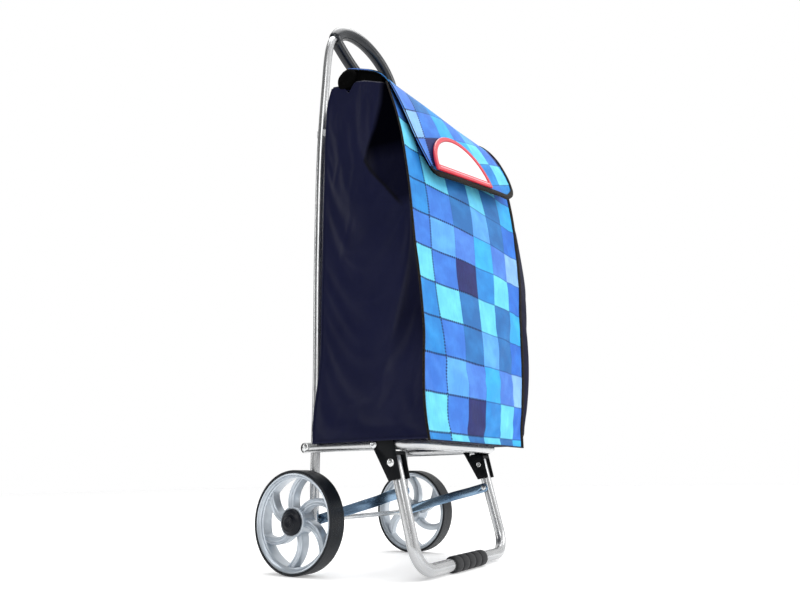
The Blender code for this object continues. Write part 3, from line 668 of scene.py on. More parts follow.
def handle_arch(count, end, reach=0.0):
    """Points along the handle's arch, or beside it when reach moves them outwards."""
    points = []
    for i in range(count):
        turn = end + (math.pi - 2 * end) * i / (count - 1)
        out = Vector((ARCH_RISE * math.cos(turn), 0, ARCH_HALF * math.sin(turn))).normalized()
        at = place(ARCH_HALF * math.cos(turn), 0, ARCH_FOOT_Z + ARCH_RISE * math.sin(turn))
        points.append(at + out * reach)
    return points


def handle_bar(count, half=0.100, lift=0.0):
    points = []
    for i in range(count):
        share = 2 * i / (count - 1) - 1
        points.append(place(share * half, 0, 0.934 + 0.037 * abs(share * half / 0.1) ** 1.7 + lift))
    return points


def handle():
    """One smooth moulding: an arch over a bowed bar, with a raised parting line along each."""
    arch = handle_arch(61, math.radians(12))
    ends = [ARCH_RADIUS - 0.0022, ARCH_RADIUS - 0.0006]
    radii = ends + [ARCH_RADIUS] * (len(arch) - 4) + ends[::-1]
    obj = join_parts([sweep("arch", arch, radii, 36), sweep("bar", handle_bar(41), BAR_RADIUS, 32)])
    obj.name = "handle_moulding"
    remesh = obj.modifiers.new("remesh", "REMESH")
    remesh.mode = "VOXEL"
    remesh.voxel_size = 0.0014
    ease = obj.modifiers.new("ease", "SMOOTH")
    ease.factor = 0.5
    ease.iterations = 5
    apply_modifiers(obj)
    obj.data.shade_smooth()
    dress(obj, GRIP, "frame", ["handle_grip"])
    for name, line in (
        ("arch_outer", handle_arch(61, math.radians(16), 0.0123)),
        ("arch_inner", handle_arch(49, math.radians(34), -0.0123)),
        ("bar_upper", handle_bar(41, 0.084, 0.0116)),
        ("bar_lower", handle_bar(41, 0.088, -0.0116)),
    ):
        seam = sweep(f"handle_seam_{name}", line, SEAM_RADIUS, 10)
        dress(seam, GRIP, "frame")


def axle_parts():
    """The axle rod shows between the struts, with its collars, spacers and push nuts."""
    half = AXLE_HIGH.x
    rod = lathe("axle_rod", [(0, half), (0.0032, half), (0.0040, half - 0.0008), (0.0040, -half + 0.0008),
                             (0.0032, -half), (0, -half)], 1, 0.0, 40, closed=False)
    dress(rod, ZINC, "frame", ["axle"])
    for _, name in SIDES:
        refine(f"axle_spacer_{name}", BLACK, "frame", 0.0004)
        refine(f"axle_collar_{name}", ZINC, "frame", 0.0003)
        refine(f"push_nut_{name}", ZINC, "frame", 0.0003)


# Wheels

HUB_RADIUS, BARREL_RADIUS, RIM_RADIUS = 0.0195, 0.0662, 0.0712
SPOKES = 6
TREAD_RIBS = 9


def spoke(side, x, number):
    """A swirl spoke with a groove along its middle, from the hub to the barrel."""
    verts, steps = [], 22
    section = [(-1.0, -0.0085), (-1.0, 0.0066), (-0.62, 0.0092), (-0.22, 0.0060)]
    section += [(0.22, 0.0060), (0.62, 0.0092), (1.0, 0.0066), (1.0, -0.0085)]
    for i in range(steps + 1):
        share = i / steps
        radius = HUB_RADIUS + (BARREL_RADIUS - HUB_RADIUS) * share
        bearing = side * (-math.radians(55) + math.radians(34) * share**1.3)
        bearing += math.tau * number / SPOKES
        half = 0.0058 + 0.0016 * share**2
        for across, height in section:
            turn = bearing + side * across * half / radius
            forward, up = radius * math.cos(turn), radius * math.sin(turn)
            outer = height * (1 - 0.10 * share)
            verts.append(place(side * (x + outer), forward, AXLE_Z + up))
    faces = ring_faces(steps + 1, len(section)) + end_faces(steps + 1, len(section))
    blade = ease_edges(solid("blade", verts, faces, None, 40), 0.0009, 3, 38)
    return crease(blade, 55)


def wheel_rim(side, name, x, half):
    """The barrel with its two lips, the hub and the spokes between them, in one piece."""
    outer = RIM_RADIUS
    rim_profile = [
        (outer, half - 0.0012), (outer, -half + 0.0012), (outer - 0.0014, -half + 0.0006),
        (outer - 0.0030, -half + 0.0010), (outer - 0.0046, -half + 0.0036),
        (outer - 0.0068, -half + 0.0046), (outer - 0.0074, -half + 0.0060),
        (outer - 0.0082, 0.0), (outer - 0.0078, half - 0.0080), (outer - 0.0062, half - 0.0070),
        (outer - 0.0056, half - 0.0050), (outer - 0.0040, half - 0.0036),
        (outer - 0.0028, half - 0.0008), (outer - 0.0012, half - 0.0002),
    ]
    hub_profile = [
        (0.0068, 0.0150), (0.0068, -0.0155), (0.0180, -0.0155), (0.0200, -0.0140), (0.0206, 0.0060),
        (0.0222, 0.0120), (0.0222, 0.0146), (0.0214, 0.0154), (0.0206, 0.0154), (0.0200, 0.0146),
    ]
    parts = [lathe(f"rim_ring_{name}", rim_profile, side, x, 128), lathe("hub", hub_profile, side, x, 72)]
    rim = join_parts(parts + [spoke(side, x, number) for number in range(SPOKES)])
    dress(rim, RIM, f"wheel_{name}", [f"rim_{name}"])


def tyre_profile(half):
    """A flat tread with fine grooves round it, between two rounded shoulders."""
    tread = [(0.0716, half), (0.0738, half), (0.0747, half - 0.0006)]
    for i in range(TREAD_RIBS):
        middle = half * (0.80 - 1.6 * i / (TREAD_RIBS - 1))
        tread += [(0.0750, middle + 0.0012), (0.0750, middle - 0.0004), (0.07472, middle - 0.0008)]
    return tread + [(0.0747, -half + 0.0006), (0.0738, -half), (0.0716, -half)]


def wheel(side, name):
    body = f"wheel_{name}"
    low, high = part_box(f"tyre_{name}")
    x = abs(low.x + high.x) / 2
    half = (high.x - low.x) / 2
    wheel_rim(side, name, x, half)
    tyre = lathe(f"tyre_band_{name}", tyre_profile(half), side, x, 144)
    dress(tyre, TYRE, body, [f"tyre_{name}"])
    dome = [(0, 0.0238), (0.0012, 0.0238), (0.0016, 0.0232), (0.0050, 0.0236), (0.0056, 0.0243),
            (0.0072, 0.0243), (0.0078, 0.0234), (0.0110, 0.0226), (0.0116, 0.0231), (0.0130, 0.0227),
            (0.0136, 0.0217), (0.0165, 0.0197), (0.0182, 0.0182), (0.0190, 0.0166), (0.0190, 0.0156),
            (0, 0.0156)]
    cap = lathe(f"hub_dome_{name}", dome, side, x, 72, closed=False)
    dress(cap, CAP, body, [f"hub_cap_{name}"])
    refine(f"wheel_bush_{name}", NYLON_WHITE, body, 0.0003)


# Base, stand and struts

LEG_X, LEG_TOP_Z = 0.147, 0.1665
LEG_PIVOT = (0.160, 0.158)  # (forward, height)
FOOT_FORWARD, FOOT_Z = 0.195, 0.012


def base():
    low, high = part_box("base_tube")
    x = (high.x - low.x) / 2 - BASE_RADIUS
    z = (low.z + high.z) / 2
    corners = [place(-x, BASE_BACK, z), place(-x, BASE_REACH, z), place(x, BASE_REACH, z),
               place(x, BASE_BACK, z)]
    tube = sweep("base_tube_smooth", rounded_path(corners, BASE_BEND), BASE_RADIUS, 32)
    dress(tube, TUBE, "base", ["base_tube"])
    refine("base_board", BLACK, "base", 0.0008)
    for _, name in SIDES:
        refine(f"base_plug_{name}", BLACK, "base", 0.0006)


# A screw's head, from its middle: (share of the radius, drop from the crown, sink of well, sink of arms)
SCREW_HEAD = [(0.0, 0.0, 0.0010, 0.0), (0.10, 0.0, 0.0010, 0.0), (0.30, 0.0, 0.0, 0.0009),
              (0.38, 0.0, 0.0, 0.0), (0.74, -0.0004, 0.0, 0.0), (0.92, -0.0010, 0.0, 0.0),
              (1.0, -0.0017, 0.0, 0.0), (1.0, -0.0026, 0.0, 0.0)]
SHANK_RADIUS, HEAD_HEIGHT = 0.0025, 0.0026


def screw(name, side, node, body):
    """A bright pan head with a small cross recess, and its shank."""
    low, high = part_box(node)
    head_out = (low.x if side < 0 else high.x) * side
    y, z = (low.y + high.y) / 2, (low.z + high.z) / 2
    radius = (high.z - low.z) / 2
    verts, steps = [], 48

    def add_ring(r, out_at):
        for k in range(steps):
            turn = math.tau * k / steps
            verts.append((side * out_at(turn), y + r * math.cos(turn), z + r * math.sin(turn)))

    for share, drop, well, arms in SCREW_HEAD:
        add_ring(radius * share, lambda turn: head_out + drop - well - arms * abs(math.cos(2 * turn)) ** 8)
    for distance in (HEAD_HEIGHT, head_out - min(abs(low.x), abs(high.x))):
        add_ring(SHANK_RADIUS, lambda turn: head_out - distance)
    rings = len(SCREW_HEAD) + 2
    faces = ring_faces(rings, steps) + [end_faces(rings, steps)[1]]
    return dress(solid(name, verts, faces, None, 30, weld=True), ZINC, body, [node])


def fittings():
    for side, name in SIDES:
        for part, body in (("base", "frame"), ("stand", "base"), ("leg", "stand")):
            screw(f"{part}_screw_{name}", side, f"{part}_bolt_{name}", body)
        for part, body in (("base", "frame"), ("stand", "base"), ("leg", "stand")):
            refine(f"{part}_nut_{name}", ZINC, body, 0.0003)
        refine(f"bracket_{name}", BLACK, "stand", 0.0006)
        refine(f"strut_{name}", STRIP, f"strut_{name}", 0.0003)
        refine(f"strut_rivet_{name}", ZINC, f"strut_{name}", 0.0003)


def stand():
    lean = (FOOT_FORWARD - LEG_PIVOT[0]) / (LEG_PIVOT[1] - FOOT_Z)
    top_forward = FOOT_FORWARD - lean * (LEG_TOP_Z - FOOT_Z)
    corners = [
        place(-LEG_X, top_forward, LEG_TOP_Z),
        place(-LEG_X, FOOT_FORWARD, FOOT_Z),
        place(LEG_X, FOOT_FORWARD, FOOT_Z),
        place(LEG_X, top_forward, LEG_TOP_Z),
    ]
    tube = sweep("stand_tube_smooth", rounded_path(corners, 0.036), STAND_RADIUS, 36)
    dress(tube, TUBE, "stand", ["stand_tube"])


def stand_sleeve():
    """A rubber sleeve of rounded ribs on the stand's foot."""
    half, ribs = 0.053, 5
    pitch = 2 * half / ribs
    profile = []
    for rib in range(ribs):
        high = half - rib * pitch
        low = high - pitch
        profile += [(0.0104, high), (0.0112, high - 0.0006), (0.0119, high - 0.0024),
                    (0.0120, (high + low) / 2), (0.0119, low + 0.0030), (0.0112, low + 0.0012),
                    (0.0104, low + 0.0006)]
    profile += [(0.0093, -half), (0.0093, half)]
    steps = 56
    verts, uvs = turned(profile, steps, lambda along, out, up: place(along, FOOT_FORWARD + out, FOOT_Z + up))
    sleeve = solid("stand_sleeve", verts, ring_faces(steps, len(profile), wrap=True), uvs, 50)
    dress(sleeve, RUBBER, "stand", ["stand_grip"])


# Bag

# Height and distance forward of the bag's edges
NEAR_FRONT = [(0.186, 0.2280), (0.215, 0.2235), (0.2417, 0.2213), (0.2986, 0.2216), (0.342, 0.2232),
              (0.388, 0.2205), (0.435, 0.2165), (0.4845, 0.2106), (0.5265, 0.207), (0.57, 0.2033),
              (0.6235, 0.1969), (0.680, 0.1884), (0.720, 0.1792), (0.758, 0.1678), (0.784, 0.1600)]
FAR_FRONT = [(0.186, 0.2292), (0.218, 0.2300), (0.257, 0.2345), (0.314, 0.239), (0.371, 0.2409),
             (0.429, 0.2418), (0.487, 0.2445), (0.5475, 0.2432), (0.604, 0.2402), (0.661, 0.2340),
             (0.700, 0.2270), (0.735, 0.2140), (0.762, 0.1980), (0.784, 0.1780)]
REAR = [(0.188, 0.0225), (0.218, 0.0220), (0.256, 0.0265), (0.300, 0.0325), (0.420, 0.0340),
        (0.634, 0.0340), (0.7305, 0.0350), (0.788, 0.0400), (0.812, 0.0480)]
BAG_X = 0.1665
BACK_TOP_Z = 0.811
BOTTOM_REAR = 0.0205
FRONT_SQUARE, FLAP_SQUARE = (0.0575, 0.0570), (0.052, 0.0547)  # width and height of the printed squares
CLOTH = 0.0009  # thickness of the navy panels
BOTTOM_Z = 0.1890
FRONT_LOW_Z = 0.1860
FRONT_TOP_Z = 0.778


def front_forward(x, z):
    near, far = spline_value(NEAR_FRONT, z), spline_value(FAR_FRONT, z)
    share = (x + BAG_X) / (2 * BAG_X)
    return near * (1 - share) + far * share


CLOTH_SETTINGS = dict(quality=6, mass=0.18, tension_stiffness=18, compression_stiffness=18,
                      shear_stiffness=6, bending_stiffness=0.9, air_damping=3.0, vertex_group_mass="pins")


def cloth_modifier(obj, frames, slack, gravity):
    cloth = obj.modifiers.new("cloth", "CLOTH")
    for key, value in CLOTH_SETTINGS.items():
        setattr(cloth.settings, key, value)
    cloth.settings.shrink_min = -slack
    cloth.settings.effector_weights.gravity = gravity
    cloth.collision_settings.use_collision = False
    cloth.collision_settings.use_self_collision = False
    cloth.point_cache.frame_start, cloth.point_cache.frame_end = 1, frames


def drape(obj, pins, frames, slack, gravity, cap):
    """Lets the sheet settle as cloth with a little spare length, and keeps each point near its place."""
    rest = np.array([v.co for v in obj.data.vertices])
    group = obj.vertex_groups.new(name="pins")
    for i, weight in enumerate(pins.ravel()):
        if weight > 0.001:
            group.add([i], float(weight), "REPLACE")
    cloth_modifier(obj, frames, slack, gravity)
    scene = bpy.context.scene
    for number in range(1, frames + 1):
        scene.frame_set(number)
    graph = bpy.context.evaluated_depsgraph_get()
    settled = obj.evaluated_get(graph).to_mesh()
    moved = np.array([v.co for v in settled.vertices]) - rest
    obj.evaluated_get(graph).to_mesh_clear()
    obj.modifiers.clear()
    obj.vertex_groups.clear()
    scene.frame_set(1)
    length = np.linalg.norm(moved, axis=1, keepdims=True)
    moved *= np.minimum(1.0, cap / np.maximum(length, 1e-9))
    obj.data.vertices.foreach_set("co", (rest + moved).astype(np.float32).ravel())
    obj.data.update()
    return obj


def thicken(obj, thickness, subdivide=0):
    if subdivide:
        fine = obj.modifiers.new("fine", "SUBSURF")
        fine.levels = fine.render_levels = subdivide
    layer = obj.modifiers.new("thickness", "SOLIDIFY")
    layer.thickness = thickness
    layer.offset = 0.0
    return apply_modifiers(obj)


def panel(name, points, uvs, thickness, pins=None, settle=(), subdivide=0):
    """Cloth through points[row][column]. With pins it settles by drape(), as settle says."""
    obj = grid_object(name, points, uvs)
    if pins is not None:
        drape(obj, pins, *settle)
    return thicken(outwards(obj), thickness, subdivide)


def flatten_with_fold(obj):
    """Gives the piece a mesh of its own."""
    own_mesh(obj)
    return obj


def bump_at(value, centre, width):
    return np.exp(-(((value - centre) / width) ** 2))


def polyline(z, knots):
    """Forward place of a line given by (height, forward) knots."""
    return np.interp(z, [k[0] for k in knots], [k[1] for k in knots])


def fade(z, low, high, soft=0.03):
    """1 between two heights, falling to 0 over the soft length at each end."""
    rise = np.clip((z - low) / soft + 0.5, 0, 1)
    drop = np.clip((high - z) / soft + 0.5, 0, 1)
    return rise * rise * (3 - 2 * rise) * drop * drop * (3 - 2 * drop)


# Lines on the near side as (height, forward): its gusset, the crease above it and the swell under the flap
GUSSET_LINE = [(0.19, 0.136), (0.2114, 0.1383), (0.2589, 0.1456), (0.3128, 0.1583), (0.3572, 0.1694),
               (0.4098, 0.1826), (0.4636, 0.1942), (0.5259, 0.2040), (0.56, 0.2040)]
CREASE_LINE = [(0.5516, 0.1938), (0.5819, 0.1566), (0.6084, 0.1372), (0.642, 0.1211)]
SWELL_LINE = [(0.60, 0.150), (0.6716, 0.150), (0.7538, 0.132), (0.80, 0.120)]
# The near side's tall soft folds behind its middle: (line, height, width, low end, high end)
TALL_FOLDS = (
    ([(0.55, 0.050), (0.6084, 0.0522), (0.6342, 0.0603), (0.689, 0.0660), (0.7386, 0.0630)],
     0.0022, 0.0065, 0.60, 0.755),
    ([(0.46, 0.072), (0.487, 0.0733), (0.512, 0.079), (0.553, 0.0900), (0.597, 0.0920), (0.639, 0.1020),
      (0.689, 0.0920), (0.75, 0.0880)], 0.0020, 0.0070, 0.485, 0.73),
    ([(0.62, 0.041), (0.80, 0.050)], 0.0012, 0.0055, 0.66, 0.78),
    ([(0.64, 0.112), (0.80, 0.106)], 0.0012, 0.0100, 0.67, 0.78),
)
# Its creases that run up from the bottom corners: (line, height, width, low end, high end, soft length)
CORNER_CREASES = (
    ([(0.19, 0.060), (0.244, 0.0815), (0.252, 0.1186), (0.285, 0.150)], 0.0016, 0.014, 0.205, 0.285, 0.04),
    ([(0.19, 0.050), (0.2158, 0.0380), (0.30, 0.0271)], 0.0018, 0.010, 0.20, 0.31, 0.04),
    ([(0.19, 0.215), (0.25, 0.190), (0.31, 0.172)], 0.0018, 0.013, 0.205, 0.32, 0.05),
)


def near_folds(f, z, u):
    """How far the near side panel stands out, before it settles."""
    out = 0.003 * np.sin(np.pi * u) * fade(z, 0.24, 0.76, 0.10)
    line = polyline(z, GUSSET_LINE)
    ahead = f > line
    depth = 0.007 * fade(z, 0.225, 0.54, 0.12)
    width = np.where(ahead, 0.026, 0.070)
    out = out - depth * np.exp(-np.abs(f - line) / width)
    out = out - 0.0028 * bump_at(f, polyline(z, CREASE_LINE), 0.014) * fade(z, 0.555, 0.66, 0.05)
    swell = polyline(z, SWELL_LINE)
    rise = np.clip(1 - (swell - f) / 0.050, 0, 1)
    drop = np.clip(1 - (f - swell) / 0.052, 0, 1)
    out = out + 0.0060 * np.where(f < swell, rise * rise * (3 - 2 * rise), drop) * fade(z, 0.62, 0.80, 0.07)
    for knots, height, wide, low, high in TALL_FOLDS:
        ripple = 0.0012 * np.sin(z * 118 + wide * 900) * fade(z, 0.60, 0.80, 0.05)
        out = out + height * bump_at(f, polyline(z, knots) + ripple, wide) * fade(z, low, high, 0.05)
    for knots, height, wide, low, high, soft in CORNER_CREASES:
        out = out + height * bump_at(f, polyline(z, knots), wide) * fade(z, low, high, soft)
    return out


def far_folds(f, z, u, front):
    """How far the far side panel stands out: its gusset puffs just behind the front seam."""
    gap = np.maximum(front - f, 0)
    puff = 0.020 * fade(z, 0.215, 0.60, 0.26) + 0.004 * fade(z, 0.19, 0.76, 0.05)
    out = puff * (1 - np.exp(-gap / 0.0016)) * np.exp(-((gap / 0.080) ** 2))
    out = out + 0.004 * np.sin(np.pi * u) * fade(z, 0.24, 0.76, 0.10)
    first = polyline(z, [(0.30, 0.050), (0.60, 0.062), (0.80, 0.060)])
    out = out + 0.0028 * bump_at(f, first, 0.011) * fade(z, 0.26, 0.78, 0.08)
    second = polyline(z, [(0.50, 0.110), (0.80, 0.092)])
    out = out - 0.0035 * bump_at(f, second, 0.014) * fade(z, 0.45, 0.79, 0.08)
    low = polyline(z, [(0.19, 0.150), (0.34, 0.085)])
    return out - 0.0028 * bump_at(f, low, 0.012) * fade(z, 0.20, 0.36, 0.05)


def side_top(f):
    places = [0.045, 0.060, 0.073, 0.085, 0.0895, 0.093, 0.099, 0.118, 0.135, 0.157]
    heights = [0.812, 0.809, 0.804, 0.790, 0.785, 0.798, 0.803, 0.797, 0.789, 0.778]
    return np.interp(f, places, heights)


def bag_side(side, name):
    rows, columns = 118, 46
    points, uvs = blank_grid(rows, columns)
    edge = NEAR_FRONT if side < 0 else FAR_FRONT
    for c in range(columns):
        t = c / (columns - 1)
        u = t if side < 0 else 1 - (1 - t) ** 1.9
        top_f = 0.049 + (0.157 - 0.049) * u
        z = BOTTOM_Z + (float(side_top(top_f)) - BOTTOM_Z) * np.linspace(0, 1, rows)
        rear, front = spline_value(REAR, z), spline_value(edge, z)
        f = rear + (front - rear) * u
        out = near_folds(f, z, u) if side < 0 else far_folds(f, z, u, front)
        hold = np.clip(u / (0.16 if side < 0 else 0.05), 0, 1) * np.clip((z - BOTTOM_Z) / 0.02, 0, 1)
        if side < 0:
            hold = hold * np.clip((1 - u) / 0.05, 0, 1)
        else:
            # The puffed cloth leans forward a little, so it shows past the front seam
            f = f + 0.55 * out * hold * np.exp(-(front - f) / 0.030)
        points[:, c, 0] = side * (BAG_X + out * hold)
        points[:, c, 1] = AXLE_Y - f
        points[:, c, 2] = z
        uvs[:, c, 0], uvs[:, c, 1] = f, z
    pins = edge_pins(rows, columns)
    pins[-1, :] = 0.7
    pins[1, :] = pins[:, 1] = pins[:, -2] = 0.5
    obj = panel(f"bag_side_cloth_{name}", points, uvs, CLOTH, pins, (20, 0.0015, 0.12, 0.0025), 1)
    # The near side panel takes the navy with painted shade behind its folds
    dress(obj, GUSSET_PAINTED_SHADE if side < 0 else NAVY, "frame", [f"bag_side_{name}"])
    return flatten_with_fold(obj)


def front_point(x, z):
    """The front panel's surface: straight between its two edges, with a soft belly and ripples."""
    share = (x + BAG_X) / (2 * BAG_X)
    belly = 0.011 * (1 - (2 * share - 1) ** 2) * fade(z, 0.25, 0.66, 0.20)
    ripple = 0.0022 * np.sin(x * 46 + z * 9) * np.sin(z * 15 + 1.1) * (1 - (2 * share - 1) ** 2)
    dent = -0.005 * bump_at(x, -0.075, 0.045) * bump_at(z, 0.46, 0.05)
    return front_forward(x, z) + belly + ripple + dent


def bag_front():
    rows, columns = 126, 62
    x = np.linspace(-BAG_X, BAG_X, columns)
    z = np.linspace(FRONT_LOW_Z, FRONT_TOP_Z, rows)
    points, uvs = blank_grid(rows, columns)
    for c in range(columns):
        f = front_point(x[c], z)
        points[:, c, 0], points[:, c, 1], points[:, c, 2] = x[c], AXLE_Y - f, z
        run = np.concatenate([[0], np.cumsum(np.hypot(np.diff(f), np.diff(z)))])
        drift = 0.16 * bump_at(z, 0.38, 0.11) + 0.10 * bump_at(x[c], -0.12, 0.05) * fade(z, 0.36, 0.9, 0.1)
        uvs[:, c, 0] = (x[c] + 0.100 + 0.047 * (z - 0.19)) / FRONT_SQUARE[0] + 1 + drift
        uvs[:, c, 1] = (run - (0.199 - FRONT_LOW_Z)) / FRONT_SQUARE[1] + 1
    obj = panel("bag_front_cloth", points, uvs, 0.0012, edge_pins(rows, columns), (18, 0.002, 0.15, 0.003), 1)
    dress(obj, FRONT_PRINT, "frame", ["bag_front"])
    return flatten_with_fold(obj)


def bag_back():
    rows, columns = 90, 50
    z = np.linspace(BOTTOM_Z, BACK_TOP_Z, rows)
    x = np.linspace(-BAG_X + 0.001, BAG_X - 0.001, columns)
    points, uvs = blank_grid(rows, columns)
    for c in range(columns):
        sag = 0.006 * np.cos(math.pi * x[c] / (2 * BAG_X)) * fade(z, 0.25, 0.75, 0.15)
        sag = sag + 0.0025 * np.sin(x[c] * 60) * np.sin(z * 11) * fade(z, 0.24, 0.78, 0.05)
        points[:, c, 0], points[:, c, 2] = x[c], z
        points[:, c, 1] = AXLE_Y - spline_value(REAR, z) + sag
        uvs[:, c, 0], uvs[:, c, 1] = x[c], z
    obj = panel("bag_back_cloth", points, uvs, CLOTH, edge_pins(rows, columns), (16, 0.004, 0.2, 0.004))
    dress(obj, NAVY, "frame", ["bag_back"])
    return flatten_with_fold(obj)


def bag_bottom():
    rows, columns = 34, 40
    x = np.linspace(-BAG_X + 0.0008, BAG_X - 0.0008, columns)
    points, uvs = blank_grid(rows, columns)
    for c in range(columns):
        f = np.linspace(BOTTOM_REAR, float(front_forward(x[c], BOTTOM_Z)) - 0.0012, rows)
        lift = 0.0048 * np.clip(np.minimum(f - BOTTOM_REAR, 0.2265 - f) / 0.012, 0, 1)
        lift *= np.clip((BAG_X - abs(x[c])) / 0.010, 0, 1)
        points[:, c, 0], points[:, c, 1] = x[c], AXLE_Y - f
        points[:, c, 2] = BOTTOM_Z + lift + 0.0006 * np.sin(x[c] * 90) * np.sin(f * 70)
        uvs[:, c, 0], uvs[:, c, 1] = x[c], f
    obj = panel("bag_bottom_cloth", points, uvs, CLOTH)
    dress(obj, NAVY, "frame", ["bag_bottom"])
    return flatten_with_fold(obj)


def strip(name, centre, across, width, thickness, look=TAPE, replaces=(), body="frame"):
    """A flat tape along a path of points, lying along each point's across direction."""
    verts, uvs, along = [], [], 0.0
    upper = [(-0.5, 0.35), (-0.42, 0.5), (0.0, 0.5), (0.42, 0.5), (0.5, 0.35)]
    section = upper + [(lane, -h) for lane, h in reversed(upper)]
    centre = [Vector(p) for p in centre]
    for i, point in enumerate(centre):
        if i:
            along += (point - centre[i - 1]).length
        before, after = centre[max(i - 1, 0)], centre[min(i + 1, len(centre) - 1)]
        tangent = (after - before).normalized()
        wide = Vector(across[i] if isinstance(across, list) else across)
        wide = (wide - tangent * wide.dot(tangent)).normalized()
        up = tangent.cross(wide)
        w = width[i] if isinstance(width, list) else width
        thick = thickness[i] if isinstance(thickness, list) else thickness
        for lane, h in section:
            verts.append(point + wide * lane * w + up * h * thick)
            uvs.append((lane * w, along))
    faces = ring_faces(len(centre), len(section)) + end_faces(len(centre), len(section))
    return dress(solid(name, verts, faces, uvs, 50), look, body, replaces)


def seam_points(edge, x, low, high, count, grow_x, grow_f):
    found = []
    for z in np.linspace(low, high, count):
        found.append(place(x + grow_x, float(spline_value(edge, z)) + grow_f, float(z)))
    return found


def bag_bindings():
    """Tape folded over the front seams, the bottom edge and the rear corners."""
    for side, name in SIDES:
        edge = NEAR_FRONT if side < 0 else FAR_FRONT
        x = side * BAG_X
        points = seam_points(edge, x, FRONT_LOW_Z - 0.0005, FRONT_TOP_Z, 70, side * 0.0016, 0.0010)
        tape = strip(f"front_binding_{name}", points, (side * 0.92, -0.38, 0), 0.0072, 0.0030,
                     replaces=[f"bag_piping_{name}"])
        flatten_with_fold(tape)
        rear = seam_points(REAR, x, BOTTOM_Z, 0.808, 50, side * 0.0006, -0.0004)
        hems = [("rear_seam", rear, (side * 0.7, 0.7, 0), 0.0030, 0.0016)]
        low = [place(x + side * 0.0008, f, BOTTOM_Z + 0.0016) for f in np.linspace(BOTTOM_REAR, 0.226, 30)]
        hems.append(("side_hem", low, (0, 0, 1), 0.0040, 0.0014))
        for part, line, across, width, thickness in hems:
            hem = strip(f"{part}_{name}", line, across, width, thickness, NAVY)
            flatten_with_fold(hem)
    low = []
    for x in np.linspace(-BAG_X, BAG_X, 40):
        low.append(place(float(x), float(front_point(x, FRONT_LOW_Z)) + 0.0010, FRONT_LOW_Z + 0.0006))
    flatten_with_fold(strip("front_hem", low, (0, 0, 1), 0.0022, 0.0018, NAVY))


def bag_top():
    """The dark cloth that runs from the back panel's top edge to the hinge."""
    rows, columns = 22, 44
    x = np.linspace(-BAG_X + 0.0012, BAG_X - 0.0012, columns)
    curve = [(0.047, 0.8095), (0.056, 0.8080), (0.066, 0.8020), (0.078, 0.7950), (0.092, 0.7890)]
    points, uvs = blank_grid(rows, columns)
    f = np.linspace(curve[0][0], curve[-1][0], rows)
    z = spline_value(curve, f)
    sag = np.sin(np.linspace(0, math.pi, rows))
    for c in range(columns):
        points[:, c, 0] = x[c]
        points[:, c, 1] = AXLE_Y - f
        points[:, c, 2] = z - 0.004 * math.cos(math.pi * x[c] / (2 * BAG_X)) * sag
        uvs[:, c, 0], uvs[:, c, 1] = x[c], f
    obj = panel("bag_top_cloth", points, uvs, CLOTH)
    dress(obj, NAVY, "frame", ["bag_top"])
    return flatten_with_fold(obj)


STRAP_WIDTH, STRAP_THICKNESS = 0.013, 0.0012
LOOP_RADIUS = 0.0086  # of the strap's middle, round the upright


def straps():
    """A webbing loop round each upright, sewn through the back panel."""
    for side, name in SIDES:
        low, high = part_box(f"hanger_loop_{name}")
        z = (low.z + high.z) / 2
        x = side * (abs(low.x + high.x) / 2)
        path = [place(x, 0.074, z)]
        path += [place(x + side * 0.0006, f, z) for f in (0.055, 0.035, 0.020, 0.012)]
        for i in range(13):
            turn = math.radians(38 - 256 * i / 12)
            path.append(place(x + side * LOOP_RADIUS * math.sin(turn), LOOP_RADIUS * math.cos(turn), z))
        path += [place(x - side * 0.0016, f, z) for f in (0.012, 0.020, 0.035, 0.055)]
        strip(f"strap_{name}", path, (0, 0, 1), STRAP_WIDTH, STRAP_THICKNESS, WEBBING,
              [f"hanger_loop_{name}"])


# Flap

NEAR_FLAP = [(-0.1665, 0.079, 0.8375), (-0.1665, 0.101, 0.8290), (-0.1665, 0.1375, 0.8110),
             (-0.1665, 0.158, 0.7915), (-0.1660, 0.170, 0.7720), (-0.1620, 0.179, 0.7500),
             (-0.1540, 0.187, 0.7250), (-0.1415, 0.200, 0.6790), (-0.1300, 0.211, 0.6450),
             (-0.1170, 0.2215, 0.6140)]
FAR_FLAP = [(0.1665, 0.079, 0.8375), (0.1665, 0.108, 0.8330), (0.1665, 0.150, 0.8200),
            (0.1660, 0.178, 0.8060), (0.1655, 0.196, 0.7900), (0.1630, 0.212, 0.7680),
            (0.1600, 0.224, 0.7470), (0.1540, 0.240, 0.7120), (0.1490, 0.249, 0.6850),
            (0.1400, 0.258, 0.6520)]
FLAP_LENGTH = 0.286
ROLL_RADIUS = 0.0205
# The tip's corners, as a share of the width, and how far back each is rounded, as a share of the length
NEAR_CORNER, NEAR_ROUND = 0.055, 0.030
FAR_CORNER, FAR_ROUND = 0.15, 0.105


def resample(path, count):
    """Points spaced evenly along a smooth path."""
    path = smooth_path(path, 8)
    run = [0.0]
    for a, b in zip(path, path[1:]):
        run.append(run[-1] + (b - a).length)
    spots = np.linspace(0, run[-1], count)
    return np.array([[np.interp(s, run, [p[k] for p in path]) for k in range(3)] for s in spots])


FLAP_NEAR_LINE = resample([place(*p) for p in NEAR_FLAP], 201)
FLAP_FAR_LINE = resample([place(*p) for p in FAR_FLAP], 201)


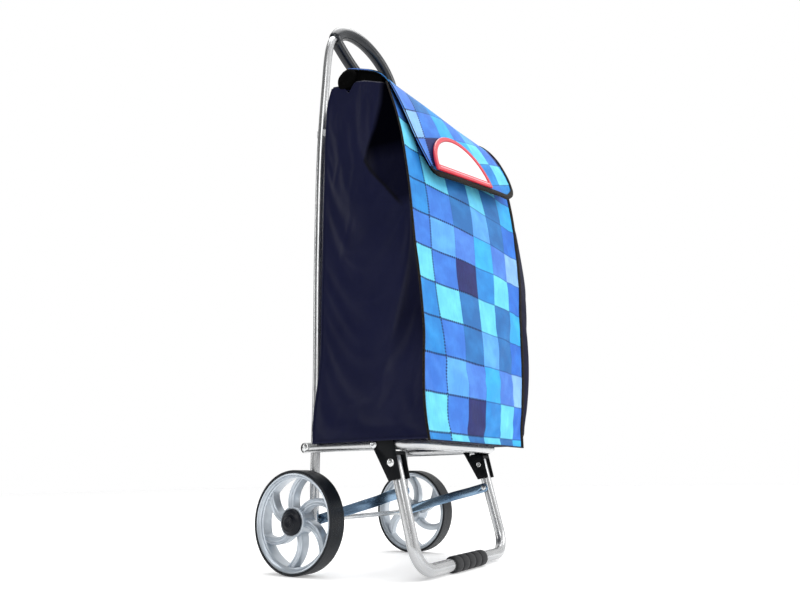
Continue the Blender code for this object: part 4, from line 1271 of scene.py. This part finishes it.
def flap_point(share, along):
    """A point of the flap: share 0 to 1 from its near to its far edge, along 0 to 1 from hinge to tip."""
    at = along * 200
    i = min(int(at), 199)
    t = at - i
    near = FLAP_NEAR_LINE[i] * (1 - t) + FLAP_NEAR_LINE[i + 1] * t
    far = FLAP_FAR_LINE[i] * (1 - t) + FLAP_FAR_LINE[i + 1] * t
    point = near * (1 - share) + far * share
    arch = 4 * share * (1 - share)
    point[1] -= 0.005 * arch * np.clip((along - 0.45) / 0.3, 0, 1)
    point[2] += 0.003 * arch * np.clip(1 - abs(along - 0.35) / 0.35, 0, 1)
    point[1] += 0.0016 * arch * math.sin(share * 9 + along * 4) * along
    return Vector(point)


def flap_limits(share):
    """How far along the flap reaches at a share across, with its tip corners rounded."""
    cut = 0.0
    if share < NEAR_CORNER:
        t = 1 - share / NEAR_CORNER
        cut = NEAR_ROUND * (1 - math.sqrt(max(0.0, 1 - t * t)))
    if share > 1 - FAR_CORNER:
        t = 1 - (1 - share) / FAR_CORNER
        cut = FAR_ROUND * (0.55 * (1 - math.sqrt(max(0.0, 1 - t * t))) + 0.45 * t**1.5)
    return 1.0 - cut


def flap_grid(rows, columns, drop=0.0):
    shares = 0.5 - 0.5 * np.cos(np.linspace(0, math.pi, columns))
    shares = 0.6 * np.linspace(0, 1, columns) + 0.4 * shares
    points, uvs = blank_grid(rows, columns)
    for c, share in enumerate(shares):
        reach = flap_limits(share)
        for r in range(rows):
            along = reach * r / (rows - 1)
            point = flap_point(share, along)
            points[r, c] = point
            down = along * FLAP_LENGTH - 0.1096 + 0.088 * share
            uvs[r, c] = ((point.x + BAG_X) / FLAP_SQUARE[0], down / FLAP_SQUARE[1] + 4)
    if drop:
        points = points - grid_normals(points) * drop
    return points, uvs


def grid_normals(points):
    down = np.gradient(points, axis=0)
    across = np.gradient(points, axis=1)
    normals = np.cross(across, down)
    normals /= np.linalg.norm(normals, axis=2, keepdims=True) + 1e-12
    if normals[:, :, 2].mean() < 0:
        normals = -normals
    return normals


def flap():
    rows, columns = 84, 66
    points, uvs = flap_grid(rows, columns)
    pins = np.zeros((rows, columns))
    pins[:10, :] = 1
    pins[:, 0] = pins[:, -1] = pins[-1, :] = 0.85
    obj = panel("flap_cloth", points, uvs, 0.0014, pins, (14, 0.002, 0.1, 0.0012), 1)
    dress(obj, FLAP_PRINT, "flap", ["flap"])
    flatten_with_fold(obj)


def flap_lining():
    points, _ = flap_grid(60, 48, 0.0032)
    lining = panel("flap_lining", points, points[:, :, :2].copy(), 0.0008)
    flatten_with_fold(dress(lining, LINING, "flap"))


def flap_outline():
    """(share, along) down the near edge, across the tip and back up the far edge."""
    edge = [(0.0, flap_limits(0.0) * i / 45) for i in range(46)]
    for i in range(1, 90):
        share = 0.5 - 0.5 * math.cos(math.pi * i / 90)
        edge.append((share, flap_limits(share)))
    return edge + [(1.0, flap_limits(1.0) * (1 - i / 45)) for i in range(46)]


def flap_edge():
    """Binding tape folded over the flap's two sides and its tip, thin along the near side."""
    path, across, widths, thicknesses = [], [], [], []
    for share, along in flap_outline():
        point = flap_point(share, along)
        if along > 0.98 * flap_limits(share):
            inner = flap_point(min(max(share, 0.02), 0.98), max(along - 0.02, 0.0))
        else:
            inner = flap_point(0.03 if share < 0.5 else 0.97, along)
        inward = (inner - point).normalized()
        across.append(inward)
        path.append(point + inward * 0.0016)
        wide = min(1.0, min(share, 1 - share) / 0.04)
        narrow, thin = (0.0026, 0.0026) if share < 0.5 else (0.0070, 0.0042)
        widths.append(narrow + (0.0100 - narrow) * wide)
        thicknesses.append(thin + (0.0042 - thin) * wide)
    tape = strip("flap_edge", path, across, widths, thicknesses, replaces=["flap_binding"], body="flap")
    flatten_with_fold(tape)


# How the roll's ends are gathered to their middle: (share of the radius, how far out)
ROLL_GATHERS = ((0.93, 0.0012), (0.72, 0.0022), (0.40, 0.0020), (0.12, 0.0010))


def roll_end(verts, uvs, turns, first, x, sign):
    """Adds the gathered end beyond the ring that starts at first, and gives its faces."""
    sides, faces = len(turns), []
    for shrink, depth in ROLL_GATHERS:
        start = len(verts)
        for turn in turns:
            r = ROLL_RADIUS * shrink * (1 + 0.03 * math.sin(7 * turn))
            up = r * math.sin(turn) * (1.0 - 0.16 * max(0.0, -math.sin(turn)))
            verts.append(place(x + sign * depth, HINGE[0] + r * math.cos(turn), HINGE[1] + up))
            uvs.append((turn * r, x))
        for s in range(sides):
            q = (s + 1) % sides
            faces.append((first + s, first + q, start + q, start + s))
        first = start
    return faces + [tuple(range(first, first + sides))]


def hinge_roll():
    """The black cloth roll that the flap is sewn to, round the hinge line."""
    sides, columns = 40, 60
    turns = [math.tau * s / sides for s in range(sides)]
    verts, uvs = [], []
    xs = np.linspace(-BAG_X - 0.001, BAG_X + 0.001, columns)
    for x in xs:
        for turn in turns:
            radius = ROLL_RADIUS + 0.0010 * math.sin(x * 40 + 2 * turn) * math.sin(turn * 3 + x * 21)
            lean = 1.0 - 0.16 * max(0.0, -math.sin(turn))
            up = radius * math.sin(turn) * lean
            verts.append(place(x, HINGE[0] + radius * math.cos(turn), HINGE[1] + up))
            uvs.append((turn * radius, x))
    faces = ring_faces(columns, sides)
    for c, sign in ((0, -1), (columns - 1, 1)):
        faces += roll_end(verts, uvs, turns, c * sides, xs[c], sign)
    roll = solid("hinge_roll", verts, faces, uvs, 60)
    flatten_with_fold(dress(roll, LINING, "frame", ["flap_hinge_fold"]))


def flap_hoods():
    """Short black end panels that hang from the flap's edges, just inside the bag's sides."""
    for side, name in SIDES:
        share = 0.0 if side < 0 else 1.0
        rows, columns = 9, 30
        points, uvs = blank_grid(rows, columns)
        for c in range(columns):
            top = flap_point(share, 0.012 + (0.265 if side < 0 else 0.30) * c / (columns - 1))
            f = AXLE_Y - top.y
            low = float(side_top(min(f, 0.157))) - 0.012
            for r in range(rows):
                t = r / (rows - 1)
                z = (top.z - 0.0016) * (1 - t) + min(low, top.z - 0.004) * t
                inset = 0.0030 + 0.0010 * math.sin(f * 90 + z * 40) * t
                points[r, c] = (side * (BAG_X - inset), AXLE_Y - f, z)
                uvs[r, c] = (f, z)
        hood = panel(f"flap_hood_{name}", points, uvs, 0.0010)
        flatten_with_fold(dress(hood, LINING, "flap"))


BADGE_SHARE, BADGE_ALONG = 0.336, 0.976  # the middle of its foot, as a share across and along the flap
BADGE_RADIUS = 0.084


def badge_axes():
    """The badge's foot on the flap, and the directions across it, up it and out of it."""
    foot = flap_point(BADGE_SHARE, BADGE_ALONG)
    upper = flap_point(BADGE_SHARE, BADGE_ALONG - 0.22)
    left, right = flap_point(BADGE_SHARE - 0.2, BADGE_ALONG), flap_point(BADGE_SHARE + 0.2, BADGE_ALONG)
    across = (right - left).normalized()
    up = upper - foot
    up = (up - across * up.dot(across)).normalized()
    out = across.cross(up)
    if out.y > 0:
        out = -out
    return foot + out * 0.0022, across, up, out


def half_round(radius, lift):
    """A half circle and its straight foot, which is lifted from the circle's middle."""
    start = math.asin(min(1.0, lift / radius))
    ring = []
    for i in range(60):
        turn = start + (math.pi - 2 * start) * i / 59
        ring.append((radius * math.cos(turn), radius * math.sin(turn)))
    left_x, right_x = ring[-1][0], ring[0][0]
    return ring + [(left_x + (right_x - left_x) * i / 24, lift) for i in range(1, 24)]


def badge_shape(name, axes, loops, ring_shaped):
    """A body through half-round loops of (radius, lift, height), open in the middle or closed."""
    foot, across, up, out = axes
    verts = []
    for radius, lift, height in loops:
        verts += [foot + across * a + up * b + out * height for a, b in half_round(radius, lift)]
    count = len(verts) // len(loops)
    faces = ring_faces(len(loops), count, wrap=ring_shaped)
    if not ring_shaped:
        faces += end_faces(len(loops), count)
    return solid(name, verts, faces, None, 32)


def badge():
    """A blank half-round badge: a thick red rim round a white face."""
    axes = badge_axes()
    foot, across, up, out = axes
    height, bend, inner, inner_lift = 0.0036, 0.0011, BADGE_RADIUS - 0.0080, 0.0105
    rim_loops = [(BADGE_RADIUS, 0.0, 0.0), (BADGE_RADIUS, 0.0, height - bend),
                 (BADGE_RADIUS - bend, bend, height), (inner + bend, inner_lift - bend, height),
                 (inner, inner_lift, height - bend), (inner, inner_lift, 0.0)]
    rim = badge_shape("badge_red_rim", axes, rim_loops, True)
    dress(rim, RED, "flap", ["badge_rim"])
    height, bend, outer, lift = 0.0020, 0.0006, BADGE_RADIUS - 0.0083, 0.0108
    face_loops = [(outer, lift, 0.0), (outer, lift, height - bend), (outer - bend, lift + bend, height)]
    face = badge_shape("badge_blank_face", axes, face_loops, False)
    dress(face, WHITE, "flap", ["badge_face"])
    span = [foot + across * BADGE_RADIUS * t + up * 0.0056 + out * 0.0037
            for t in np.linspace(-0.90, 0.90, 24)]
    line = strip("badge_foot_line", span, up, 0.0016, 0.0006, PINK, body="flap")
    for obj in (rim, face, line):
        flatten_with_fold(obj)


# Stage, light and camera


def stage():
    size = 8.0
    verts = [(x, y, -0.0004) for x in (-size, size) for y in (-size, size)]
    floor = new_object("floor", verts, [(0, 1, 3, 2)])
    paper = Look("pale_floor", linear(252, 252, 252), Roughness=0.9,
                 Emission_Color=(1, 1, 1, 1), Emission_Strength=0.30)
    floor.data.materials.append(paper.material)


def backdrop():
    """The sweep behind the trolley is white; the room on the camera's side is dim."""
    world = bpy.data.worlds.new("studio")
    bpy.context.scene.world = world
    world.use_nodes = True
    tree = world.node_tree
    background = tree.nodes["Background"]
    coords = tree.nodes.new("ShaderNodeTexCoord")
    facing = tree.nodes.new("ShaderNodeVectorMath")
    facing.operation = "DOT_PRODUCT"
    facing.inputs[1].default_value = (0.72, -0.42, 0.30)
    shade = tree.nodes.new("ShaderNodeMapRange")
    for socket, value in (("From Min", -0.25), ("From Max", 0.35), ("To Min", 0.17), ("To Max", 1.0)):
        shade.inputs[socket].default_value = value
    seen = tree.nodes.new("ShaderNodeLightPath")
    either = tree.nodes.new("ShaderNodeMath")
    either.operation = "MAXIMUM"
    for source, socket in (
        (coords.outputs["Generated"], facing.inputs[0]),
        (facing.outputs["Value"], shade.inputs["Value"]),
        (shade.outputs["Result"], either.inputs[0]),
        (seen.outputs["Is Camera Ray"], either.inputs[1]),
        (either.outputs[0], background.inputs["Strength"]),
    ):
        tree.links.new(source, socket)
    background.inputs["Color"].default_value = (1, 1, 1, 1)


LAMPS = (  # name, place, target, power, width, height
    ("key", (1.5, -3.0, 2.0), (0, 0, 0.5), 36, 1.4, 1.6),
    ("top", (0.3, 0.1, 3.2), (0, 0, 0), 60, 2.4, 2.4),
    ("left_strip", (-1.4, 2.6, 1.2), (-0.1, 0, 0.6), 14, 0.5, 2.0),
    ("near_box", (-2.7, -1.15, 1.9), (0, 0, 0.6), 36, 1.4, 2.8),
)


def lamps():
    for name, spot, target, power, width, height in LAMPS:
        data = bpy.data.lights.new(name, "AREA")
        data.shape = "RECTANGLE"
        data.size, data.size_y = width, height
        data.energy = power
        lamp = bpy.data.objects.new(name, data)
        lamp.location = spot
        lamp.rotation_euler = (Vector(target) - Vector(spot)).to_track_quat("-Z", "Y").to_euler()
        bpy.context.scene.collection.objects.link(lamp)
    bpy.context.scene.view_settings.view_transform = "Standard"


def camera():
    """The camera stands low, ahead of the left wheel, and looks up and across the trolley."""
    heading, pitch, roll = math.radians(31.86), math.radians(16.04), math.radians(-0.72)
    look = Vector((math.cos(pitch) * math.cos(heading), math.cos(pitch) * math.sin(heading), math.sin(pitch)))
    level = Vector((math.sin(heading), -math.cos(heading), 0))
    top = level.cross(look)
    right = level * math.cos(roll) + top * math.sin(roll)
    up = top * math.cos(roll) - level * math.sin(roll)
    data = bpy.data.cameras.new("camera")
    data.sensor_width = 36.0
    data.lens = 36.0 * 636.8 / 800
    data.shift_y = -5.5 / 800
    data.clip_start, data.clip_end = 0.05, 50
    obj = bpy.data.objects.new("camera", data)
    turn = Matrix((right, up, -look)).transposed().to_4x4()
    obj.matrix_world = Matrix.Translation((-0.9509, AXLE_Y - 0.6704, 0.1370)) @ turn
    bpy.context.scene.collection.objects.link(obj)
    bpy.context.scene.camera = obj


camera()
stage()
backdrop()
lamps()
frame_tubes()
handle()
axle_parts()
for side, name in SIDES:
    wheel(side, name)
base()
stand()
stand_sleeve()
fittings()
straps()
bag_back()
bag_front()
for side, name in SIDES:
    bag_side(side, name)
bag_bottom()
bag_top()
bag_bindings()
hinge_roll()
flap_edge()
flap_lining()
flap_hoods()
flap()
badge()
